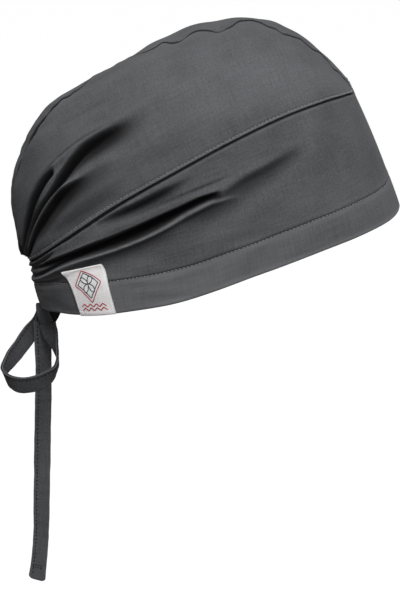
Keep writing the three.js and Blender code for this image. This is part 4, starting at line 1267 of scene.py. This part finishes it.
def bandRowPlaces(turn):
    # rows closer at the hem stitch, the folds and the side seam; one set for each turn
    top = casingShare(turn)
    count = capGrid["bandRows"]
    casing = int(count * capGrid["casingRows"])
    low = spread(casing, lambda s: 1 + 4 * bell(1 - s, 0.12), 0, 1)

    def rowWeight(s):
        return 1 + 3 * bell(s, 0.04) + 1.1 * bell(s - 0.55, 0.3) + 7 * bell(1 - s, 0.03)

    high = spread(count - casing + 1, rowWeight, 0, 1)[1:]
    return np.concatenate([low[None] * top[:, None], top[:, None] + (1 - top[:, None]) * high[None]], 1)


bandWearAndLight = {
    "hem": ((0.95, 0.4, 1.3),),
    "casingFold": ((0.3, -1.6, 1.3),),
    "seam": ((0.35, 1.2, 1.2),),
    "casing": (0.15, 0.5),              # lightening of the casing, and what its side adds
    "casingSide": (40, 90, 128, 158),   # turns where that comes in and goes
    # painted light on the lower half, and the shares up the rib where it goes
    "lowHalf": (0.16, 0.3, 0.6),
}


def buildBand(material):
    left = spread(capGrid["bandColumns"] + 1, columnWeight, 0, 180)
    right = left[1:-1][::-1]
    rows = []
    for side, turn in (("left", left), ("right", right)):
        up = bandRowPlaces(turn)
        t = np.repeat(turn[:, None], up.shape[1], 1)
        length = ribLength("band", turn)[:, None]
        up = up * (1 - clothDetail["crownSeamGap"] / length)
        rows.append((capCloth(side, "band", t, up), up, length, *shadeAt(side, "band", t, up)))
    outer, up, length, paintedShade, rubAndHighlight = (np.concatenate([row[k] for row in rows]) for k in range(5))
    turns = np.concatenate([left, right])
    top = casingShare(turns)[:, None] * length
    below = up * length
    cloth, casing = clothDetail["cloth"], clothDetail["casing"]
    thick = cloth + (casing - cloth) * (1 - ease(below, top - 0.4, top + 0.6))
    inner = inwardFrom(outer, thick, True)
    hem = outer[:, 0]
    along = np.concatenate([[0], np.cumsum(np.linalg.norm(np.diff(hem, axis=0), axis=1))])
    coords = np.stack([np.repeat(along[:, None], up.shape[1], 1), below], -1)
    # wear at the hem, the casing fold and the seam, lightening of the casing, painted light on the lower
    # half and painted highlight on crests
    wornAndLit, more = bandWearAndLight["casing"]
    comes, full, goes, gone = bandWearAndLight["casingSide"]
    onCasing = (wornAndLit + more * ease(turns, comes, full) * (1 - ease(turns, goes, gone)))[:, None]
    wornAndLit, start, end = bandWearAndLight["lowHalf"]
    wearAndLight = rolls(bandWearAndLight["hem"], below) + rolls(bandWearAndLight["casingFold"], below - top) \
        + rolls(bandWearAndLight["seam"], (1 - up) * length) + onCasing * (1 - ease(below, top - 1.4, top)) \
        + wornAndLit * (1 - ease(up, start, end)) + rubAndHighlight
    return loopWall("bandCloth", outer, inner, coords, True, material, wearAndLight, paintedShade)


allowance = {
    "reach": (5.0, 3.8, 2.6, 1.6, 0.9, 0.35),    # mm from the seam
    "under": 0.95,             # mm below the outside of the cloth
    "thickness": 0.5,
    "shade": 0.3,
    "columns": 230,
    "tackRise": (-3, 9, 12),   # from, to and rows, mm along the centre seam at the back
    "tackSide": (-3.4, 3.4, 9),
    "tackDepths": (1.3, 1.9),
    "tackShade": 0.6,
}


def buildAllowance(name, halves, turn, material):
    # turned-in cloth along a seam, inside the cap: each half is a side, a part and the end of its rib
    t = np.repeat(turn[:, None], len(allowance["reach"]), 1)
    strips = []
    for depth in (allowance["under"], allowance["under"] + allowance["thickness"]):
        rows = []
        for (side, on, atTop), reach in zip(halves, (allowance["reach"], allowance["reach"][::-1])):
            share = np.minimum(np.array(reach)[None] / ribLength(on, turn)[:, None], 0.9)
            rows.append(capCloth(side, on, t, 1 - share if atTop else share, lift=-depth))
        strips.append(np.concatenate(rows, 1))
    outer, inner = strips
    along = np.concatenate([[0], np.cumsum(np.linalg.norm(np.diff(outer[:, 0], axis=0), axis=1))])
    across = np.concatenate([-np.array(allowance["reach"]), np.array(allowance["reach"])[::-1]])
    coords = np.stack(np.meshgrid(along, across, indexing="ij"), -1)
    bare = np.zeros(outer.shape[:2])
    return loopWall(name, outer, inner, coords, False, material, bare, bare + allowance["shade"])


def buildBackTack(material):
    # patch of cloth inside the point where the centre seam meets the side seams
    seam, ridge = seamAt(np.array(180.0)), ridgeAt(np.array(180.0))
    slope = unit(ridge - seam)
    inward = np.array([slope[2], 0, -slope[0]])
    rise, side = np.meshgrid(np.linspace(*allowance["tackRise"]), np.linspace(*allowance["tackSide"]),
                             indexing="ij")
    sheet = seam + slope * rise[..., None] + np.array([0, 1.0, 0]) * side[..., None]
    outer, inner = (sheet + inward * depth for depth in allowance["tackDepths"])
    bare = np.zeros(rise.shape)
    return loopWall("backTack", outer, inner, np.stack([rise, side], -1), False, material,
                    bare, bare + allowance["tackShade"])


def buildAllowances(material):
    centre = np.linspace(7, 179.8, allowance["columns"])
    halves = (("right", "crown", True), ("left", "crown", True))
    pieces = [(buildAllowance("centreAllowance", halves, centre, material), "crown_left"),
              (buildBackTack(material), "crown_left")]
    around = np.linspace(2, 179, allowance["columns"])
    for side in ("right", "left"):
        name, halves = "sideAllowance" + side.capitalize(), ((side, "band", True), (side, "crown", False))
        pieces.append((buildAllowance(name, halves, around, material), "band"))
    for piece, node in pieces:
        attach(piece, "root")
    return [piece for piece, node in pieces]


crownRight = buildCrown("right", charcoalCotton)
crownLeft = buildCrown("left", charcoalCotton)
band = buildBand(charcoalCotton)
for piece, node in ((crownRight, "crown_right"), (crownLeft, "crown_left"), (band, "band")):
    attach(piece, "root")
    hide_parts(node)
allowances = buildAllowances(charcoalCotton)
print("cap cloth formed:", sum(len(p.data.polygons) for p in (crownRight, crownLeft, band)), "faces")


# stitching of the cap

capStitch = {
    "pitch": 2.3,
    "length": 1.6,
    "radius": 0.26,
    "proud": 0.13,
    "points": 1400,              # of a seam's route
    "sideTurns": (4, 177.5),
    "hemTurns": (0.4, 178.5),
    "seeds": {"right": 101, "left": 102},
}


def stitchAlong(name, side, on, turn, up, seed):
    look = capStitch
    return layStitches(name, capCloth(side, on, turn, up), capNormal(side, on, turn, up), look["pitch"],
                       look["length"], look["radius"], charcoalThread, proud=look["proud"], seed=seed)


def sewCap():
    sewn = []
    for side, seed in capStitch["seeds"].items():
        turn = np.linspace(*capStitch["sideTurns"], capStitch["points"])
        up = clothDetail["sideTopstitch"] / ribLength("crown", turn)
        name = "sideSeamStitches" + side.capitalize()
        sewn.append((stitchAlong(name, side, "crown", turn, up, seed), "crown_" + side))
        turn = np.linspace(*capStitch["hemTurns"], capStitch["points"])
        name = "hemStitches" + side.capitalize()
        sewn.append((stitchAlong(name, side, "band", turn, casingShare(turn), seed + 10), "band"))
    for seam, node in sewn:
        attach(seam, "root")
    return sewn


capSeams = sewCap()
print("cap stitched with", len(capSeams), "lines")


# label: a woven satin patch with a small thread ornament

labelForm = {
    "edges": ((139.5, -0.012, 124.5, -0.006), (140.2, 0.24, 124.9, 0.2),
              (141.6, 0.44, 125.4, 0.4), (144.7, 0.61, 126.8, 0.53)),  # left turn, up, right turn, up
    "size": (22, 20),         # mm
    "standoff": 0.45,
    "bridge": 4.0,            # mm of cloth that the patch lies flat over
    "thickness": 0.7,
    "cells": (84, 72),
    "cornerLift": (0.35, 0.12, 0.16),   # mm, and its reach across and down
    "bow": (0.12, 0.6),                 # mm, and its start
    "edgeRound": (0.22, 0.5),           # mm in height, mm in from the edge
    "rim": ((0.08, 0.9, 0.35),),
}
satinLook = {
    "ground": (0.93, 0.90, 0.90),
    "shade": (0.70, 0.68, 0.69),
    "roughness": 0.32,
    "roughSpread": 0.2,
    "sheen": 0.15,
    "sheenRoughness": 0.3,
    "threadRound": 0.5,
    "lineScale": (0.15, 3.0, 1),
    "lineTone": 0.14,
    "soilScale": (160, 160, 160),
    "soilTone": 0.1,
    "tone": 0.88,
    "threadPitch": 0.3,
    "threadDepth": 0.03 * mm,
}
ornament = {
    "red": (0.50, 0.03, 0.05),
    "slate": (0.04, 0.085, 0.095),
    "shade": 0.55,            # between the plies
    "roughness": 0.45,
    "middle": (11, 11.4),     # mm from the label's bottom back corner
    "lozenge": (7.6, 7.0),    # half sizes
    "innerLozenge": 0.78,
    "rose": 4.2,
    "rosePoints": 90,
    "zigzagRises": (1.7, 3.0),
    "zigzagStart": 3.4,
    "zigzagStep": (1.9, 1.0),  # along and up
    "zigzagPoints": 9,
    "threadWidth": 0.62,
    "threadProud": 0.2,
    "threadStep": 0.22,
    "threadTaper": 0.25,
    "threadSides": 8,
}


def labelPlace(across, rise):
    # across from the label's back edge to its front edge, rise from bottom to top
    table = np.array(labelForm["edges"])
    steps = np.linspace(0, 1, len(table))
    leftTurn, leftUp, rightTurn, rightUp = (throughPoints(steps, table[:, k], rise) for k in range(4))
    return leftTurn + (rightTurn - leftTurn) * across, leftUp + (rightUp - leftUp) * across


def labelSurface(across, rise, lift):
    turn, up = labelPlace(across, rise)
    foot = np.clip(up, capForm["lowestUp"], None)
    drop = (up - foot) * ribLength("band", turn)
    lifted, wide, deep = labelForm["cornerLift"]
    corner = lifted * (bell(across, wide) + bell(1 - across, wide)) * bell(1 - rise, deep)
    bowHeight, start = labelForm["bow"]
    bow = bowHeight * np.sin(np.pi * across * 2 + start) * rise
    hang = unit(hemAt(turn) - seamAt(turn))
    hang[..., 1] *= -1
    point = capCloth("right", "band", turn, foot, lift + corner + bow, labelForm["bridge"])
    return point - hang * drop[..., None]


def labelMaterial():
    look = satinLook
    material, tree, shader, threads = startMaterial(
        "whiteSatin", look["roughness"], look["sheen"], look["sheenRoughness"])
    weave = plainWeave(tree, threads, look["threadPitch"])
    lines = stretchedNoise(tree, threads, look["lineScale"])
    soil = stretchedNoise(tree, objectPlace(tree), look["soilScale"], 3.0)
    threadTop = addMath(tree, "POWER", weave, look["threadRound"])
    ground = mixColour(tree, threadTop, look["shade"], look["ground"])
    tone = addMath(tree, "ADD", addMath(tree, "MULTIPLY", soil, look["soilTone"]), look["tone"])
    tone = addMath(tree, "ADD", addMath(tree, "MULTIPLY", lines, look["lineTone"]), tone)
    colour = mixColour(tree, 1.0, ground, greyOf(tree, tone), "MULTIPLY")
    tree.links.new(colour, shader.inputs["Base Color"])
    rough = addMath(tree, "ADD", addMath(tree, "MULTIPLY", lines, look["roughSpread"]), look["roughness"])
    tree.links.new(rough, shader.inputs["Roughness"])
    bump = addBump(tree, lines, look["threadDepth"])
    tree.links.new(addBump(tree, weave, look["threadDepth"], bump), shader.inputs["Normal"])
    return material


def ornamentMaterial(name, colour):
    shade = tuple(ornament["shade"] * channel for channel in colour)
    return threadMaterial(name, dict(threadLook, body=colour, shade=shade, roughness=ornament["roughness"]))


def buildLabel():
    cellsAcross, cellsUp = labelForm["cells"]
    wide, tall = labelForm["size"]
    across, rise = np.meshgrid(np.linspace(0, 1, cellsAcross), np.linspace(0, 1, cellsUp), indexing="ij")
    edge = np.minimum(np.minimum(across, 1 - across) * wide, np.minimum(rise, 1 - rise) * tall)
    drop, reach = labelForm["edgeRound"]
    rounded = drop * (1 - np.sqrt(1 - (1 - np.clip(edge / reach, 0, 1)) ** 2))
    top = labelForm["standoff"] + labelForm["thickness"]
    outer = labelSurface(across, rise, top - rounded + rolls(labelForm["rim"], edge))
    inner = labelSurface(across, rise, np.full_like(across, labelForm["standoff"]))
    coords = np.stack([across * wide, rise * tall], -1)
    bare = np.zeros_like(across)
    return loopWall("labelPatch", outer, inner, coords, False, labelMaterial(), bare, bare)


def embroider(name, lines, material):
    # raised threads on the label, each line a list of (across, rise) in mm from its bottom back corner
    points, faces, uvs = [], [], []
    around, taperReach = ornament["threadSides"], ornament["threadTaper"]
    wide, tall = labelForm["size"]
    top = labelForm["standoff"] + labelForm["thickness"]
    for line in lines:
        line = np.asarray(line, float)
        run = np.concatenate([[0], np.cumsum(np.linalg.norm(np.diff(line, axis=0), axis=1))])
        count = max(4, int(run[-1] / ornament["threadStep"]))
        at = np.linspace(0, run[-1], count)
        a, r = np.interp(at, run, line[:, 0]) / wide, np.interp(at, run, line[:, 1]) / tall
        centre = labelSurface(a, r, np.full_like(a, top))
        up = unit(labelSurface(a, r, np.full_like(a, top + 1.0)) - centre)
        side = unit(np.cross(unit(np.gradient(centre, axis=0)), up))
        taper = np.sqrt(np.clip(np.minimum(at, run[-1] - at) / taperReach, 0.15, 1))[:, None, None]
        angle = (2 * np.pi * np.arange(around) / around)[None, :, None]
        ring = centre[:, None] + side[:, None] * ornament["threadWidth"] / 2 * taper * np.cos(angle) \
            + up[:, None] * ornament["threadProud"] * taper * np.sin(angle)
        start = sum(len(p) for p in points)
        points.append(ring.reshape(-1, 3))
        faces += (ringFaces(count, around) + start).tolist()
        uvs += ringUvs(at, np.arange(around + 1) * 0.12).tolist()
        caps, capUvs = endCaps(start, count, around)
        faces += caps
        uvs += capUvs
    return newPiece(name, np.concatenate(points), faces, material, uvs)


def lozengeLine(share=1):
    (x, y), (wide, tall) = ornament["middle"], (share * half for half in ornament["lozenge"])
    return [(x, y - tall), (x + wide, y), (x, y + tall), (x - wide, y), (x, y - tall)]


def ornamentLines():
    # a four-petalled rose in a lozenge over two zigzag lines
    x, y = ornament["middle"]
    step, climb = ornament["zigzagStep"]
    red = [lozengeLine()]
    for rise in ornament["zigzagRises"]:
        red.append([(ornament["zigzagStart"] + step * k, rise + climb * (k % 2))
                    for k in range(ornament["zigzagPoints"])])
    turn = np.linspace(0, 2 * np.pi, ornament["rosePoints"])
    reach = ornament["rose"] * np.sin(2 * turn)
    slate = [list(zip(x + reach * np.cos(turn), y + reach * np.sin(turn))),
             lozengeLine(ornament["innerLozenge"])]
    return red, slate


label = buildLabel()
redLines, slateLines = ornamentLines()
redThread = ornamentMaterial("redThread", ornament["red"])
slateThread = ornamentMaterial("slateThread", ornament["slate"])
labelThreads = [embroider("labelRedThread", redLines, redThread),
                embroider("labelSlateThread", slateLines, slateThread)]
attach(label, "root")
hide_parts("label")
for piece in labelThreads:
    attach(piece, "root")
print("label sewn on")


# knot: a wrap of the tie over a soft bundle, and the two tie ends out of the casing

knotForm = {
    "wrap": [  # on from the loop's own start, over the bundle and down behind it
        (-98.4, -7.2, -39.4, 0.95, 0, 0.3), (-99.6, -7.4, -37.2, 0.97, 0, 0.22),
        (-100.7, -7.7, -34.2, 0.99, 0, 0.12), (-101.4, -7.3, -31.2, 1, 0, 0.04),
        (-101.6, -5.6, -29.2, 1, 0, 0), (-101.6, -3.2, -28.7, 1, 0, 0),
        (-101.6, -0.9, -30.2, 1, 0, 0), (-101.6, -0.4, -33, 1, 0, 0.05), (-101.7, -1.4, -36, 1, 0, 0.1),
    ],
    "tuck": [  # on from the loop's far end, up behind the wrap
        (-104.4, 1.4, -39.6, -0.82, 0, 0.5), (-103.3, 1.5, -37.4, -0.86, 0, 0.45),
        (-102.1, 1.0, -35, -0.9, 0, 0.35), (-101, -0.6, -32.8, -0.95, 0, 0.2),
    ],
    "root": [  # on from the top of the tail
        (-101.8, -3.8, -38.7, 1, 0.05, 0), (-101.7, -4, -36.4, 1, 0.04, 0), (-101.5, -4.2, -33.8, 1, 0, 0),
    ],
    "wrapWidth": 7.2,
    "wrapThickness": 1.15,
    "bundle": [  # x, y, z, half size across and half size deep
        (-95.4, -3.4, -33.6, 2.6, 2.6), (-97.6, -3.7, -33.4, 3, 3), (-100.4, -4, -33.2, 2.9, 3.1),
        (-103.2, -3.8, -33.6, 2.6, 2.8), (-104.8, -3.4, -34.4, 1.6, 1.9),
    ],
    "ends": [  # two tie ends side by side, from inside the casing to the bundle
        [(-92, -4.4, -22, 0.85, 0.4, -0.3), (-93, -4.7, -28.5, 0.85, 0.4, -0.3),
         (-94.8, -5.1, -34.5, 0.85, 0.4, -0.35), (-98, -4.9, -39.5, 0.8, 0.4, -0.45)],
        [(-92.6, -1.6, -20.5, 0.2, 1, 0.1), (-93.2, -1.7, -25.5, 0.2, 1, 0.1),
         (-94.6, -2, -29.8, 0.2, 1, 0), (-97.4, -2.4, -32.6, 0, 1, 0)],
    ],
    "endWidth": 6.4,
    "endThickness": 1.1,
    "endShade": 0.88,
    "step": 0.4,
    "shade": 0.3,
    "tuckPinch": (0.34, 0.2),
    "rootPinch": (0, 0.3),
    "bundleSides": 28,
    "bundleStep": 0.34,
    "bundleRound": 1.6,            # mm over which its ends round off
    "bundleLumps": ((0.07, 3, 0.8), (0.05, 5, -1.3)),   # height, number round, twist per mm
    "bundleShade": 0.75,
}


def buildBundle():
    look = knotForm
    around = look["bundleSides"]
    even, length = evenRoute(look["bundle"], look["bundleStep"])
    centre, wide, deep = even[:, :3], even[:, 3:4], even[:, 4:5]
    tangent = unit(np.gradient(centre, axis=0))
    side = unit(np.cross(tangent, np.array([0.0, 0, 1])))
    up = np.cross(side, tangent)
    run = np.linspace(0, length, len(centre))
    ends = np.sqrt(np.clip(np.minimum(run, length - run) / look["bundleRound"], 0.08, 1))
    angle = 2 * np.pi * np.arange(around)[None] / around
    lumps = 1 + sum(height * np.sin(number * angle + run[:, None] * twist)
                    for height, number, twist in look["bundleLumps"])
    bulk = lumps * ends[:, None]
    points = centre[:, None] + side[:, None] * (np.cos(angle) * bulk * wide)[..., None] \
        + up[:, None] * (np.sin(angle) * bulk * deep)[..., None]
    flat, faces, uvs = tubeMesh(points, run, np.arange(around + 1) * 0.65)
    return newPiece("knotBundle", flat, faces, charcoalCotton, uvs,
                    np.zeros(len(flat)), np.full(len(flat), look["bundleShade"]))


def knotStrip(name, rows, seed, width, thickness, shade, **more):
    tie = {"rows": rows, "width": width, "thickness": thickness, "openEdge": 1, "step": knotForm["step"],
           "seed": seed, "shade": shade, **more}
    return buildStrip(name, tie, charcoalCotton)[0]


def tieKnot():
    look = knotForm
    shade, wide, thick = look["shade"], loopTie["width"], loopTie["thickness"]
    pieces = [knotStrip("knotWrap", look["wrap"], 15, look["wrapWidth"], look["wrapThickness"], shade),
              buildBundle()]
    for number, rows in enumerate(look["ends"]):
        pieces.append(knotStrip("knotEnd" + "AB"[number], rows, 16 + number, look["endWidth"],
                                look["endThickness"], look["endShade"]))
    pieces.append(knotStrip("knotTuck", look["tuck"], 18, wide, thick, shade, pinch=look["tuckPinch"]))
    pieces.append(knotStrip("knotRoot", look["root"], 18, wide, thick, shade, pinch=look["rootPinch"],
                            openEdge=-1))
    return pieces


knotPieces = tieKnot()
for piece in knotPieces:
    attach(piece, "root")
    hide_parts("knot")
print("knot tied")


# centre lines of the loop and the tail in metres, and the allowance pieces, listed but not used

[tuple(p) for p in loopCentre * mm]
[tuple(p) for p in tailCentre * mm]
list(allowances[:2])
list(allowances[2:])


# floor and studio light

studio = {
    "floorHeight": -0.7,
    "floorHalf": 9.0,
    "floorColour": (0.5, 0.5, 0.5),
    "floorGlow": 0.68,
    "skyTop": 0.67,
    "skySide": 0.36,
    "skyBelow": 0.025,
    "skyStops": (0.3, 0.52, 0.85),
    "lights": [  # name, place, size, watts, aim
        ("keySoft", (0.14, -0.88, 1.14), (0.6, 0.6), 17.4, (0, 0, 0.05)),
        ("frontFill", (0.5, -1.3, 0.1), (0.7, 0.7), 1.5, (0, 0, 0.0)),
    ],
}


def addFloor(look):
    half = look["floorHalf"]
    mesh = bpy.data.meshes.new("floor")
    corners = [(half * x, half * y, look["floorHeight"]) for x, y in ((-1, -1), (1, -1), (1, 1), (-1, 1))]
    mesh.from_pydata(corners, [], [(0, 1, 2, 3)])
    material = bpy.data.materials.new("paleFloor")
    material.use_nodes = True
    shader = material.node_tree.nodes["Principled BSDF"]
    shader.inputs["Base Color"].default_value = (*look["floorColour"], 1)
    shader.inputs["Roughness"].default_value = 1.0
    shader.inputs["Specular IOR Level"].default_value = 0.0
    shader.inputs["Emission Color"].default_value = (1, 1, 1, 1)
    shader.inputs["Emission Strength"].default_value = look["floorGlow"]
    mesh.materials.append(material)
    floor = bpy.data.objects.new("floor", mesh)
    floor.visible_diffuse = False       # the sky's lower half stands for its bounce
    floor.visible_glossy = False
    bpy.context.scene.collection.objects.link(floor)


def addLights(look):
    for name, place, size, watts, aim in look["lights"]:
        data = bpy.data.lights.new(name, "AREA")
        data.shape = "RECTANGLE"
        data.size, data.size_y = size
        data.energy = watts
        lamp = bpy.data.objects.new(name, data)
        lamp.location = place
        lamp.rotation_euler = (Vector(aim) - Vector(place)).to_track_quat("-Z", "Y").to_euler()
        bpy.context.scene.collection.objects.link(lamp)


def addSky(look):
    # pale studio tent, dimmer towards the ground
    world = bpy.data.worlds.new("studio")
    world.use_nodes = True
    tree = world.node_tree
    split = addNode(tree, "ShaderNodeSeparateXYZ")
    tree.links.new(addNode(tree, "ShaderNodeTexCoord").outputs["Generated"], split.inputs[0])
    ramp = addNode(tree, "ShaderNodeValToRGB")
    half = addMath(tree, "ADD", addMath(tree, "MULTIPLY", split.outputs[2], 0.5), 0.5)
    tree.links.new(half, ramp.inputs[0])
    stops = ramp.color_ramp.elements
    low, middle, high = look["skyStops"]
    stops[0].position, stops[1].position = low, high
    stops.new(middle)
    for stop, level in zip(stops, (look["skyBelow"], look["skySide"], look["skyTop"])):
        stop.color = (level, level, level, 1)
    tree.links.new(ramp.outputs[0], tree.nodes["Background"].inputs["Color"])
    bpy.context.scene.world = world
    bpy.context.scene.view_settings.view_transform = "Standard"


addFloor(studio)
addLights(studio)
addSky(studio)
print("floor and lights placed")
